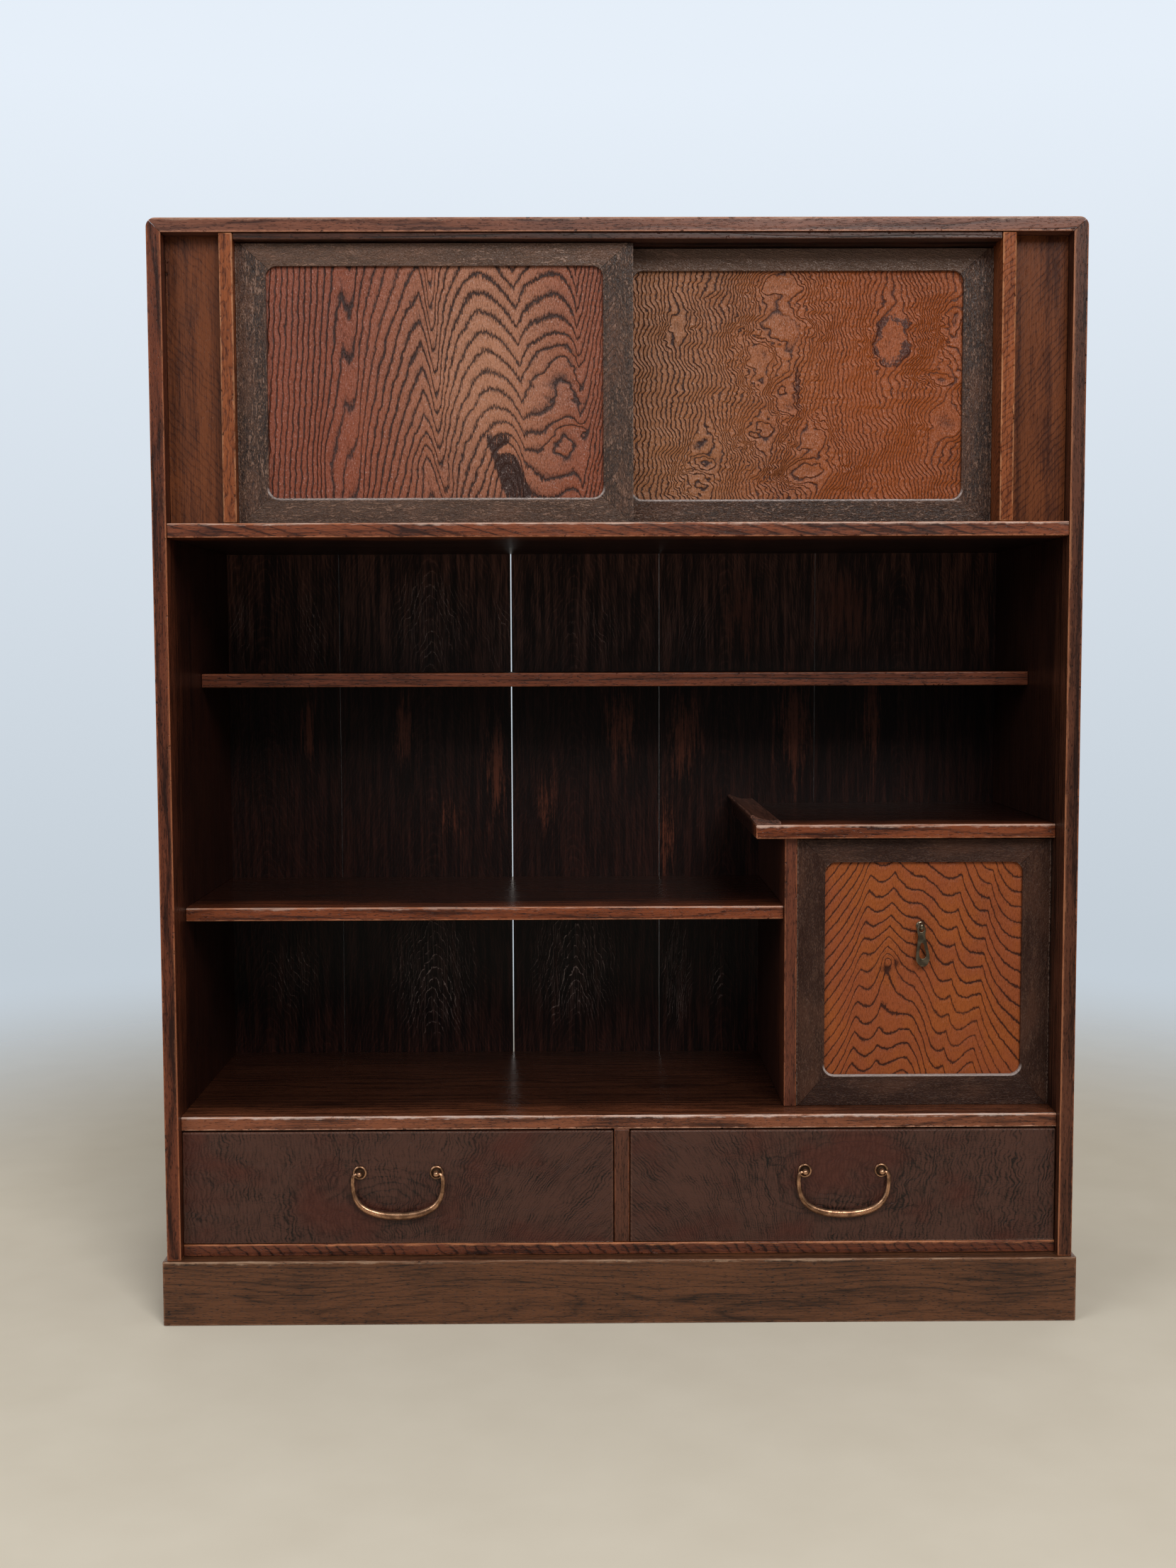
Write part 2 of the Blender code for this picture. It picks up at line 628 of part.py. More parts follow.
def make_cupboard_top():
    board = make_shelf("cupboard_top_shelf", CUPBOARD_TOP_LEFT, INNER_HALF, CUPBOARD_TOP_SETBACK,
                       CUPBOARD_TOP_Z, CUPBOARD_TOP_TOP, left_housed=False)
    boolean(board, divider_housing("cupboard_top_divider_housing", CUPBOARD_TOP_Z - OVERRUN,
                                   CUPBOARD_TOP_Z + HOUSING_DEPTH + GLUE_GAP))
    low_y, high_y = tongue_span(FRONT_Y + SMALL_DOOR_SETBACK, SMALL_DOOR_THICK, DOOR_END_PLAY)
    low = (DIVIDER_RIGHT, low_y, CUPBOARD_TOP_Z - OVERRUN)
    high = (INNER_HALF - GLUE_GAP, high_y, CUPBOARD_TOP_Z + SMALL_HEAD_GROOVE)
    boolean(board, box_cutter("small_head_groove", low, high))
    return board


def make_brush_stop():
    """A strip whose free edge curls up and out, so that a brush laid on the shelf can't roll off."""
    left = CUPBOARD_TOP_LEFT
    base = CUPBOARD_TOP_TOP + GLUE_GAP
    right = left + STOP_WIDTH
    tip = (left - STOP_LIP_REACH + STOP_LIP_ROUND, base + STOP_LIP_HEIGHT - STOP_LIP_ROUND)
    lip = arc(tip, STOP_LIP_ROUND, 215, 60)
    hollow = []
    start, end = lip[-1], (right - STOP_THICK / 2, base + STOP_THICK)
    for step in range(1, ARC_STEPS + 1):
        share = step / (ARC_STEPS + 1)
        ease = (1 - share) ** 2
        sag = STOP_HOLLOW_SAG * math.sin(math.pi * share)
        x = start[0] + (end[0] - start[0]) * share
        z = end[1] + (start[1] - end[1]) * ease - sag
        hollow.append((x, z))
    points = [(right, base), (left, base), *lip, *hollow, end, (right, base + STOP_THICK / 2)]
    stop = front_slab("brush_stop", [points], FRONT_Y + CUPBOARD_TOP_SETBACK, SHELF_BACK_Y)
    return give_material(stop, SHELF_WOOD)


def make_shelves():
    make_shelf("thin_shelf", -INNER_HALF, INNER_HALF, THIN_SHELF_SETBACK, THIN_SHELF_Z, THIN_SHELF_TOP)
    make_shelf("middle_shelf", -INNER_HALF, DIVIDER_LEFT, MIDDLE_SHELF_SETBACK, MIDDLE_SHELF_Z,
               MIDDLE_SHELF_TOP)
    make_cupboard_top()
    make_cupboard_divider()
    make_brush_stop()


# Framed doors

def mitred_frame(name, left, right, low_z, high_z, front_y, thick, stile, top_rail, foot_rail, radius):
    """Four members, each one object, with mitred corners round an opening whose corners are rounded."""
    in_left, in_right = left + stile, right - stile
    in_low, in_high = low_z + foot_rail, high_z - top_rail
    centres = {
        "top_left": (in_left + radius, in_high - radius), "top_right": (in_right - radius, in_high - radius),
        "foot_left": (in_left + radius, in_low + radius), "foot_right": (in_right - radius, in_low + radius),
    }
    gap = GLUE_GAP / 2
    members = {
        "top_rail": ([(left, high_z), *arc(centres["top_left"], radius, 135, 90),
                      *arc(centres["top_right"], radius, 90, 45), (right, high_z)], (0, gap)),
        "foot_rail": ([(right, low_z), *arc(centres["foot_right"], radius, 315, 270),
                       *arc(centres["foot_left"], radius, 270, 225), (left, low_z)], (0, -gap)),
        "left_stile": ([(left, low_z), *arc(centres["foot_left"], radius, 225, 180),
                        *arc(centres["top_left"], radius, 180, 135), (left, high_z)], (-gap, 0)),
        "right_stile": ([(right, high_z), *arc(centres["top_right"], radius, 45, 0),
                         *arc(centres["foot_right"], radius, 360, 315), (right, low_z)], (gap, 0)),
    }
    made = []
    for label, (points, shift) in members.items():
        moved = [(x + shift[0], z + shift[1]) for x, z in points]
        member = front_slab(f"{name}_{label}", [moved], front_y, front_y + thick)
        give_material(member, FRAME_WOOD)
        made.append(member)
    return made, (in_left, in_right, in_low, in_high)


def make_door(name, left, right, low_z, high_z, front_y, sizes):
    """A framed door with a panel in a groove, and a tongue along its head and its foot."""
    thick = sizes["thick"]
    members, opening = mitred_frame(name, left, right, low_z, high_z, front_y, thick, sizes["stile"],
                                    sizes["top_rail"], sizes["foot_rail"], DOOR_CORNER_RADIUS)
    in_left, in_right, in_low, in_high = opening
    panel_front = front_y + DOOR_PANEL_INSET
    panel_back = panel_front + DOOR_PANEL_THICK
    low = (in_left - PANEL_TONGUE, panel_front, in_low - PANEL_TONGUE)
    high = (in_right + PANEL_TONGUE, panel_back, in_high + PANEL_TONGUE)
    panel = give_material(add_box(f"{name}_panel", low, high), PANEL_WOOD)
    slack = Vector((GLUE_GAP, GLUE_GAP, GLUE_GAP))
    pocket = box_cutter(f"{name}_panel_groove", Vector(low) - slack, Vector(high) + slack)
    tongue_low, tongue_high = tongue_span(front_y, thick)
    rebates = []
    for end, (cut_low, cut_high) in {
        "head": (high_z - sizes["head_tongue"] - sizes["head_shoulder"], high_z + OVERRUN),
        "foot": (low_z - OVERRUN, low_z + sizes["foot_tongue"] + DOOR_FOOT_SHOULDER),
    }.items():
        for face, cut_front, cut_back in (("front", front_y - OVERRUN, tongue_low),
                                          ("back", tongue_high, front_y + thick + OVERRUN)):
            rebates.append(box_cutter(f"{name}_{end}_{face}_rebate", (left - OVERRUN, cut_front, cut_low),
                                      (right + OVERRUN, cut_back, cut_high)))
    for member in members:
        boolean(member, pocket)
        for rebate in rebates:
            boolean(member, rebate)
    return panel


SLIDING_DOOR = {
    "thick": DOOR_THICK, "stile": DOOR_STILE, "top_rail": DOOR_TOP_RAIL, "foot_rail": DOOR_FOOT_RAIL,
    "head_tongue": DOOR_HEAD_TONGUE, "head_shoulder": DOOR_HEAD_SHOULDER, "foot_tongue": DOOR_FOOT_TONGUE,
}
SMALL_DOOR = {
    "thick": SMALL_DOOR_THICK, "stile": SMALL_STILE, "top_rail": SMALL_TOP_RAIL, "foot_rail": SMALL_FOOT_RAIL,
    "head_tongue": SMALL_HEAD_TONGUE, "head_shoulder": SMALL_HEAD_SHOULDER, "foot_tongue": SMALL_FOOT_TONGUE,
}


def make_sliding_doors():
    edge = POST_INNER - DOOR_END_PLAY
    make_door("left_door", -edge, -edge + DOOR_WIDTH, DOOR_FOOT_Z, DOOR_HEAD_Z, FRONT_DOOR_Y, SLIDING_DOOR)
    make_door("right_door", edge - DOOR_WIDTH, edge, DOOR_FOOT_Z, DOOR_HEAD_Z, REAR_DOOR_Y, SLIDING_DOOR)


def make_small_door():
    front = FRONT_Y + SMALL_DOOR_SETBACK
    left, right = DIVIDER_RIGHT + DOOR_END_PLAY, INNER_HALF - DOOR_END_PLAY
    low_z = BOTTOM_BOARD_TOP - SMALL_FOOT_TONGUE
    high_z = CUPBOARD_TOP_Z + SMALL_HEAD_TONGUE
    panel = make_door("small_door", left, right, low_z, high_z, front, SMALL_DOOR)
    panel_front = front + DOOR_PANEL_INSET
    eye = Vector(((left + right) / 2 + PULL_OFFSET_X, panel_front - PULL_EYE_STANDOFF,
                  (low_z + high_z) / 2 + PULL_EYE_HEIGHT))
    boolean(panel, cylinder_cutter("pull_stem_bore", (eye.x, panel_front, eye.z), (0, 1, 0),
                                   PULL_STEM_RADIUS + BORE_GAP, 2 * (DOOR_PANEL_THICK + OVERRUN)))
    make_pull_eye(eye, panel_front)
    make_pull_drop(eye)


# Drop pull

def face_outwards(obj, origin):
    """Turn a piece that was turned about Z so that its top looks out of the front, at origin."""
    obj.rotation_euler = (math.pi / 2, 0, 0)
    obj.location = origin
    return obj


def make_pull_eye(eye, panel_front):
    """A dome on a riveted stem, with a ring that stands on it. The stem passes through the panel."""
    top = PULL_EYE_STANDOFF - PULL_RING_RADIUS
    stem_end = -(DOOR_PANEL_THICK + GLUE_GAP)
    base = GLUE_GAP
    across_share, up_share = PULL_DOME_SHOULDER_SHARES
    shoulder = (PULL_DOME_RADIUS * across_share, base + PULL_DOME_HEIGHT * up_share)
    profile = [
        (0.0, top), (PULL_STEM_RADIUS / 2, top), (PULL_STEM_RADIUS, base + PULL_DOME_HEIGHT), shoulder,
        (PULL_DOME_RADIUS, base),
        (PULL_STEM_RADIUS, base), (PULL_STEM_RADIUS, stem_end), (RIVET_RADIUS, stem_end),
        (RIVET_RADIUS, stem_end - RIVET_THICK), (0.0, stem_end - RIVET_THICK),
    ]
    body = face_outwards(turned("small_door_pull_eye", profile), Vector((eye.x, panel_front, eye.z)))
    bpy.ops.mesh.primitive_torus_add(major_radius=PULL_RING_RADIUS, minor_radius=PULL_WIRE_RADIUS,
                                     major_segments=TURN_STEPS, minor_segments=TURN_STEPS // 2,
                                     location=eye, rotation=(0, math.pi / 2, 0))
    ring = bpy.context.object
    ring.name = "pull_ring_union"
    for owner in list(ring.users_collection):
        owner.objects.unlink(ring)
    CUTTERS.objects.link(ring)
    boolean(body, hide_cutter(ring), "UNION")
    return give_material(body, PULL_BRONZE)


def make_pull_drop(eye):
    """A flat teardrop plate with a slot, drawn about its hole. It hangs from the bottom of the ring."""
    head = arc((0, 0), PULL_HEAD_RADIUS, 150, 30, 2 * ARC_STEPS)
    right_side = [(PULL_NECK_HALF, -PULL_NECK_DROP)]
    for step in range(1, ARC_STEPS + 1):
        share = step / ARC_STEPS
        ease = (1 - math.cos(math.pi * share)) / 2
        right_side.append((PULL_NECK_HALF + (PULL_BELLY_HALF - PULL_NECK_HALF) * ease,
                           -(PULL_NECK_DROP + (PULL_BELLY_DROP - PULL_NECK_DROP) * share)))
    across_share, down_share = PULL_CHEEK_SHARES
    cheek_drop = PULL_BELLY_DROP + (PULL_TIP_DROP - PULL_BELLY_DROP) * down_share
    right_side += [(PULL_BELLY_HALF * across_share, -cheek_drop), (PULL_TIP_HALF, -PULL_TIP_DROP)]
    left_side = [(-x, z) for x, z in reversed(right_side)]
    outer = [*head, *right_side, *left_side]
    hole = arc((0, 0), PULL_HOLE_RADIUS, 0, 315, TURN_STEPS // 2 - 1)
    slot = [*arc((0, -PULL_SLOT_TOP), PULL_SLOT_TOP_RADIUS, 0, 180),
            *arc((0, -PULL_SLOT_FOOT), PULL_SLOT_FOOT_RADIUS, 180, 360, 2 * ARC_STEPS)]
    turn = Matrix.Rotation(PULL_TILT, 2)
    loops = [[tuple(turn @ Vector(point)) for point in loop] for loop in (outer, hole, slot)]
    plate = flat_outline("small_door_pull_drop", loops, PULL_PLATE_THICK)
    plate.rotation_euler = (math.pi / 2, 0, 0)
    plate.location = (eye.x, eye.y, eye.z - PULL_RING_RADIUS)
    drop = mesh_from_curve(plate, "small_door_pull_drop")
    drop.data.transform(Matrix.Rotation(math.pi / 2, 4, "X"))
    drop.data.transform(Matrix.Translation((0, 0, -PULL_RING_RADIUS)))
    drop.matrix_world = Matrix.Translation(eye)
    return give_material(drop, PULL_BRONZE)


# Drawers

def make_drawer(name, left, right):
    front = FRONT_Y + DRAWER_SETBACK
    low_z = FLOOR_TOP + DRAWER_FOOT_PLAY
    high_z = BOTTOM_BOARD_Z - DRAWER_TOP_PLAY
    back = SHELF_BACK_Y - DRAWER_BACK_PLAY
    lap_y = front + DRAWER_FRONT_THICK - DRAWER_LAP
    side_top = high_z - DRAWER_SIDE_DROP
    bottom_top = low_z + DRAWER_BOTTOM_THICK
    slack = Vector((GLUE_GAP, GLUE_GAP, GLUE_GAP))
    boards = {
        "left_side": ((left, lap_y, bottom_top + GLUE_GAP), (left + DRAWER_SIDE_THICK, back, side_top)),
        "right_side": ((right - DRAWER_SIDE_THICK, lap_y, bottom_top + GLUE_GAP), (right, back, side_top)),
        "bottom": ((left, lap_y, low_z), (right, back, bottom_top)),
    }
    face = bevel(add_box(f"{name}_front", (left, front, low_z), (right, front + DRAWER_FRONT_THICK, high_z)))
    for label, (low, high) in boards.items():
        give_material(add_box(f"{name}_{label}", low, high), DRAWER_INNER_WOOD)
        spread = Vector((OVERRUN, 0, 0)) if label == "bottom" else Vector((0, 0, 0))
        lap_low, lap_high = Vector(low) - slack - spread, Vector(high) + slack + spread
        boolean(face, box_cutter(f"{name}_{label}_lap", lap_low, lap_high))
    inner_left, inner_right = left + DRAWER_SIDE_THICK + GLUE_GAP, right - DRAWER_SIDE_THICK - GLUE_GAP
    give_material(add_box(f"{name}_back", (inner_left, back - DRAWER_BACK_THICK, bottom_top + GLUE_GAP),
                          (inner_right, back, side_top)), DRAWER_INNER_WOOD)
    middle_x = (left + right) / 2
    middle_z = (low_z + high_z) / 2 + HANDLE_RISE
    for label, side in (("left", -1), ("right", 1)):
        post_x = middle_x + side * HANDLE_SPACING / 2
        boolean(face, cylinder_cutter(f"{name}_{label}_post_bore", (post_x, front, middle_z), (0, 1, 0),
                                      STEM_RADIUS + BORE_GAP, 2 * (DRAWER_FRONT_THICK + OVERRUN)))
        make_handle_post(f"{name}_{label}_handle_post", Vector((post_x, front, middle_z)))
    make_bail(f"{name}_bail", Vector((middle_x, front - HANDLE_STANDOFF, middle_z)))
    give_material(face, DRAWER_WOOD)


def make_handle_post(name, foot):
    """A turned post: riveted stem, dished rosette, neck, and a ball bored across for the bail's pin."""
    base = GLUE_GAP
    dish = base + ROSETTE_DISH_HEIGHT
    rim_in = ROSETTE_RADIUS - ROSETTE_RIM
    stem_end = -(DRAWER_FRONT_THICK + GLUE_GAP)
    neck_angle = math.degrees(math.asin(NECK_RADIUS / BALL_RADIUS))
    ball = [(x, z) for x, z in arc((0, HANDLE_STANDOFF), BALL_RADIUS, 90, -90 + neck_angle, 6)]
    ball[0] = (0.0, HANDLE_STANDOFF + BALL_RADIUS)
    rim_middle = (rim_in + ROSETTE_RADIUS) / 2
    profile = [
        *ball, (NECK_RADIUS, dish), (rim_in, dish), (rim_middle - ROSETTE_RIM / 4, base + ROSETTE_RIM_HEIGHT),
        (rim_middle + ROSETTE_RIM / 4, base + ROSETTE_RIM_HEIGHT), (ROSETTE_RADIUS, dish),
        (ROSETTE_RADIUS, base), (STEM_RADIUS, base), (STEM_RADIUS, stem_end), (RIVET_RADIUS, stem_end),
        (RIVET_RADIUS, stem_end - RIVET_THICK), (0.0, stem_end - RIVET_THICK),
    ]
    post = face_outwards(turned(name, profile), foot)
    bore_centre = (foot.x, foot.y - HANDLE_STANDOFF, foot.z)
    boolean(post, cylinder_cutter(f"{name}_pin_bore", bore_centre, (1, 0, 0), BALL_BORE_RADIUS,
                                  2 * (BALL_RADIUS + OVERRUN)))
    return give_material(post, BRONZE)


# The right half of a bail, from its pin to its middle: across and down as shares of the half width and the
# drop, then the share of the way from the arm's radius to the grip's.
BAIL_SHARES = (
    (0.955, -0.004, 0.00), (1.000, -0.05, 0.00), (1.010, -0.15, 0.00), (1.005, -0.31, 0.08),
    (0.975, -0.48, 0.22), (0.905, -0.65, 0.42), (0.770, -0.81, 0.66), (0.550, -0.92, 0.86),
    (0.280, -0.98, 0.97), (0.000, -1.00, 1.00),
)


def smooth_path(points, steps):
    """A Catmull-Rom curve through points, each a vector of any length, as steps points to a span."""
    path = []
    last = len(points) - 1
    for index in range(last):
        before = points[max(index - 1, 0)]
        start, end = points[index], points[index + 1]
        after = points[min(index + 2, last)]
        for step in range(steps):
            t = step / steps
            path.append([0.5 * (2 * b + (c - a) * t + (2 * a - 5 * b + 4 * c - d) * t ** 2
                                + (3 * b - a - 3 * c + d) * t ** 3)
                         for a, b, c, d in zip(before, start, end, after)])
    path.append(list(points[last]))
    return path


def make_bail(name, pivot):
    """A bar that swells to its middle, its two ends turned in as pins that enter the balls from outside."""
    post_x = HANDLE_SPACING / 2
    pin_in = post_x + BALL_RADIUS - BAIL_PIN_REACH
    pin_out = post_x + BALL_RADIUS + BORE_GAP
    half = [(pin_in, 0.0, BAIL_PIN_RADIUS), (pin_out, 0.0, BAIL_PIN_RADIUS)]
    for across, down, swell in BAIL_SHARES:
        radius = BAIL_ARM_RADIUS + (BAIL_GRIP_RADIUS - BAIL_ARM_RADIUS) * swell
        half.append((across * BAIL_HALF_WIDTH, down * BAIL_DROP, radius))
    whole = [(-x, z, r) for x, z, r in half] + [(x, z, r) for x, z, r in reversed(half[:-1])]
    path = smooth_path(whole, BAIL_STEPS_PER_SPAN)
    curve = bpy.data.curves.new(name, "CURVE")
    curve.dimensions = "3D"
    curve.bevel_depth = BAIL_GRIP_RADIUS
    curve.bevel_resolution = WIRE_SIDES_RESOLUTION
    curve.use_fill_caps = True
    spline = curve.splines.new("POLY")
    spline.points.add(len(path) - 1)
    for target, (x, z, radius) in zip(spline.points, path):
        target.co = (x, 0.0, z, 1.0)
        target.radius = radius / BAIL_GRIP_RADIUS
    bail = bpy.data.objects.new(name, curve)
    bail.location = pivot
    PARTS.objects.link(bail)
    return give_material(bail, BRONZE)


def make_drawers():
    low_z, high_z = FLOOR_TOP + GLUE_GAP, BOTTOM_BOARD_Z - GLUE_GAP
    left = DRAWER_DIVIDER_OFFSET - DRAWER_DIVIDER_WIDTH / 2
    right = DRAWER_DIVIDER_OFFSET + DRAWER_DIVIDER_WIDTH / 2
    front = FRONT_Y + DRAWER_SETBACK
    divider = add_box("drawer_divider", (left, front, low_z), (right, SHELF_BACK_Y, high_z))
    give_material(bevel(divider), SHELF_WOOD)
    make_drawer("left_drawer", -INNER_HALF + DRAWER_SIDE_PLAY, left - DRAWER_SIDE_PLAY)
    make_drawer("right_drawer", right + DRAWER_SIDE_PLAY, INNER_HALF - DRAWER_SIDE_PLAY)


# The cabinet

def main():
    make_case()
    make_shelves()
    make_sliding_doors()
    make_small_door()
    make_drawers()
    print("objects:", len(PARTS.objects))
    print("case:", CASE_WIDTH, "wide,", round(CASE_TOP, 4), "high,", CASE_DEPTH + PLINTH_PROUD, "deep")


main()
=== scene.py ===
# %% [markdown]
# A Japanese tea cabinet in lacquered zelkova, an open-grained hardwood. Its solids come from the part as a
# fixed frame. This script gives each board its grain and wear, and models the bronze fittings finely enough
# for a close look. Lengths in the modelling cells are metres, and lengths inside a material are millimetres,
# because grain is easier to think of in millimetres.

# %% Load the frame
import math

import bpy
from mathutils import Matrix, Vector


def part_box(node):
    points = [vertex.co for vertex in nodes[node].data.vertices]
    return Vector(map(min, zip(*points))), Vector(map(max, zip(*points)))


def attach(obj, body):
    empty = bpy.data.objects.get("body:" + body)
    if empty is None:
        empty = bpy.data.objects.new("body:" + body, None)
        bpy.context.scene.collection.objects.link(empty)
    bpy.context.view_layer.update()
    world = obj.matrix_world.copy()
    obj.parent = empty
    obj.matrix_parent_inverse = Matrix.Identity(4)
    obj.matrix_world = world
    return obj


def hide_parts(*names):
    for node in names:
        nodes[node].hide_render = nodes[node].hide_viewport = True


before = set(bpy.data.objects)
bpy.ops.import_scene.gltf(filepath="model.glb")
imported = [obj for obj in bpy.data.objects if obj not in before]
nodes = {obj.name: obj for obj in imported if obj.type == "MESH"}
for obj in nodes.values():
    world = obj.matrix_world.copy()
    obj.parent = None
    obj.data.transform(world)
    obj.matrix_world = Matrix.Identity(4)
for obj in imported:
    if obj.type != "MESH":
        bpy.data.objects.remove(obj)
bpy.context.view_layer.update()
front_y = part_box("left_side_board")[0].y
print("nodes", len(nodes), "front of the case at y", round(front_y, 4))

# %% [markdown]
# The camera stands where the photographer stood: a little left of the middle, at two thirds of the cabinet's
# height, tipped down by four degrees. These values were fitted to the edges of the boards. The rotation is
# built from three turns, so the small roll of the hand-held camera is kept.

# %% Camera
CAMERA_PLACE = Vector((-0.0438, front_y - 1.7378, 0.6713))
CAMERA_YAW = 0.00746
CAMERA_PITCH = 0.07339
CAMERA_ROLL = 0.00320
CAMERA_LENS = 40.6
FILM_WIDTH = 36


def make_camera():
    camera = bpy.data.objects.new("camera", bpy.data.cameras.new("camera"))
    bpy.context.scene.collection.objects.link(camera)
    ahead = Vector((math.sin(CAMERA_YAW) * math.cos(CAMERA_PITCH),
                    math.cos(CAMERA_YAW) * math.cos(CAMERA_PITCH),
                    -math.sin(CAMERA_PITCH)))
    level = Vector((math.cos(CAMERA_YAW), -math.sin(CAMERA_YAW), 0))
    down = ahead.cross(level)
    right = level * math.cos(CAMERA_ROLL) + down * math.sin(CAMERA_ROLL)
    down = down * math.cos(CAMERA_ROLL) - level * math.sin(CAMERA_ROLL)
    turn = Matrix((right, -down, -ahead)).transposed().to_4x4()
    camera.matrix_world = Matrix.Translation(CAMERA_PLACE) @ turn
    camera.data.lens = CAMERA_LENS
    camera.data.sensor_width = FILM_WIDTH
    bpy.context.scene.camera = camera
    return camera


print("camera", [round(value, 3) for value in make_camera().location])

# %% [markdown]
# Shader maths reads best as sums. A Number wraps an output socket of a node, and its operators add the Math
# nodes, so a line such as 1 - mask * 0.5 builds the nodes in the order in which it is read.

# %% Numbers in a node tree
def fill(node, sockets):
    """Link or set sockets of a node, each by its name or number. None leaves one as it is."""
    for key, value in sockets.items():
        value = value.socket if isinstance(value, Number) else value
        if isinstance(value, bpy.types.NodeSocket):
            node.id_data.links.new(value, node.inputs[key])
        elif value is not None:
            node.inputs[key].default_value = value


class Number:
    def __init__(self, socket):
        self.socket = socket

    def work(self, operation, *values):
        node = self.socket.id_data.nodes.new("ShaderNodeMath")
        node.operation = operation
        fill(node, dict(enumerate(values)))
        return Number(node.outputs[0])

    def __add__(self, other):
        return self.work("ADD", self, other)

    def __radd__(self, other):
        return self.work("ADD", other, self)

    def __sub__(self, other):
        return self.work("SUBTRACT", self, other)

    def __rsub__(self, other):
        return self.work("SUBTRACT", other, self)

    def __mul__(self, other):
        return self.work("MULTIPLY", self, other)

    def __rmul__(self, other):
        return self.work("MULTIPLY", other, self)

    def __truediv__(self, other):
        return self.work("DIVIDE", self, other)

    def __rtruediv__(self, other):
        return self.work("DIVIDE", other, self)

    def __pow__(self, other):
        return self.work("POWER", self, other)

    def __rpow__(self, other):
        return self.work("POWER", other, self)

    def __abs__(self):
        return self.work("ABSOLUTE", self)

    def least(self, other):
        return self.work("MINIMUM", self, other)

    def most(self, other):
        return self.work("MAXIMUM", self, other)

    def part(self):
        return self.work("FRACT", self)

    def whole(self):
        return self.work("FLOOR", self)

    def sine(self):
        return self.work("SINE", self)

    def root(self):
        return self.work("SQRT", self)


print("sums ready")

# %% [markdown]
# Nodes is a node tree. Every node but the sums comes from its one method, add, which takes a type, the
# settings and the sockets. The kinds that are used most often have short names of their own.

# %% Nodes of every kind
class Nodes:
    def __init__(self, tree):
        self.tree = tree

    def add(self, kind, settings, sockets):
        node = self.tree.nodes.new(kind)
        for key, value in settings.items():
            if key == "stops":
                self.set_stops(node.color_ramp, value)
            elif key == "curve":
                self.set_curve(node.mapping, value)
            else:
                setattr(node, key, value)
        fill(node, sockets)
        return node

    def set_stops(self, ramp, stops):
        while len(ramp.elements) > 1:
            ramp.elements.remove(ramp.elements[-1])
        for index, (place, level) in enumerate(stops):
            stop = ramp.elements[0] if index == 0 else ramp.elements.new(place)
            stop.position = place
            stop.color = (level, level, level, 1)

    def set_curve(self, mapping, points):
        curve = mapping.curves[0]
        curve.points[0].location = points[0][:2]
        curve.points[1].location = points[-1][:2]
        for point in points[1:-1]:
            curve.points.new(*point[:2])
        for point, wanted in zip(curve.points, points):
            point.handle_type = wanted[2]
        mapping.extend = "EXTRAPOLATED"
        mapping.update()

    def ramp(self, value, stops):
        node = self.add("ShaderNodeValToRGB", {"stops": stops}, {0: value})
        return Number(node.outputs["Color"])

    def rise(self, value, low, high):
        """0 below low, 1 above high, and smooth between. A low above high makes it fall."""
        sockets = {0: value, 1: min(low, high), 2: max(low, high)}
        node = self.add("ShaderNodeMapRange", {"interpolation_type": "SMOOTHSTEP"}, sockets)
        risen = Number(node.outputs[0])
        return risen if low < high else 1 - risen

    def chance(self, value):
        """A random number from 0 to 1 for each whole number."""
        node = self.add("ShaderNodeTexWhiteNoise", {"noise_dimensions": "1D"}, {"W": value})
        return Number(node.outputs["Value"])

    def blend(self, share, first, second):
        node = self.add("ShaderNodeMix", {"data_type": "RGBA"}, {0: share, 6: first, 7: second})
        return node.outputs[2]

    def bump(self, height, distance):
        """height is in shares of distance, which is in metres."""
        sockets = {"Height": height, "Distance": distance, "Strength": 1.0}
        return self.add("ShaderNodeBump", {}, sockets).outputs[0]


print("nodes ready")

# %% [markdown]
# A Finish is the node tree of one material. It hands out the place on the surface in millimetres, and it
# takes colours in coats, each laid over the last where its mask says. Object coordinates are used throughout,
# so a pattern stays on its board when a drawer slides out.

# %% A finish
MM = 1000


class Finish(Nodes):
    def __init__(self, name):
        self.material = bpy.data.materials.new(name)
        self.material.use_nodes = True
        super().__init__(self.material.node_tree)
        coords = self.add("ShaderNodeTexCoord", {}, {})
        apart = self.add("ShaderNodeSeparateXYZ", {}, {0: coords.outputs["Object"]})
        self.places = self.x, self.y, self.z = [Number(apart.outputs[i]) * MM for i in range(3)]

    def noise(self, places, sizes, seed=0.0, detail=2.0, harsh=0.5):
        """Smooth noise from 0 to 1, mostly near a half. Its grain has these sizes along the three places."""
        along, across, deep = (place / size for place, size in zip(places, sizes))
        spot = self.add("ShaderNodeCombineXYZ", {}, {0: along + seed, 1: across, 2: deep})
        sockets = {"Vector": spot.outputs[0], "Scale": 1.0, "Detail": detail, "Roughness": harsh}
        return Number(self.add("ShaderNodeTexNoise", {}, sockets).outputs[0])

    def even_noise(self, size, seed, detail=2.0, harsh=0.5):
        return self.noise(self.places, (size, size, size), seed, detail, harsh)

    def coat(self, share, colour):
        """Lay one more colour over those that are there."""
        self.colour = self.blend(share, self.colour, colour)

    def show(self, roughness, normal, metallic=0.0, shine=0.3):
        fill(self.tree.nodes["Principled BSDF"], {
            "Base Color": self.colour, "Roughness": roughness, "Metallic": metallic, "Normal": normal,
            "Specular IOR Level": shine})
        return self.material


print("a finish counts", MM, "to the metre")

# %% [markdown]
# Colours are matched to the photo, whose numbers are those of a screen. Blender mixes light in linear
# numbers, so each colour is turned into those once.

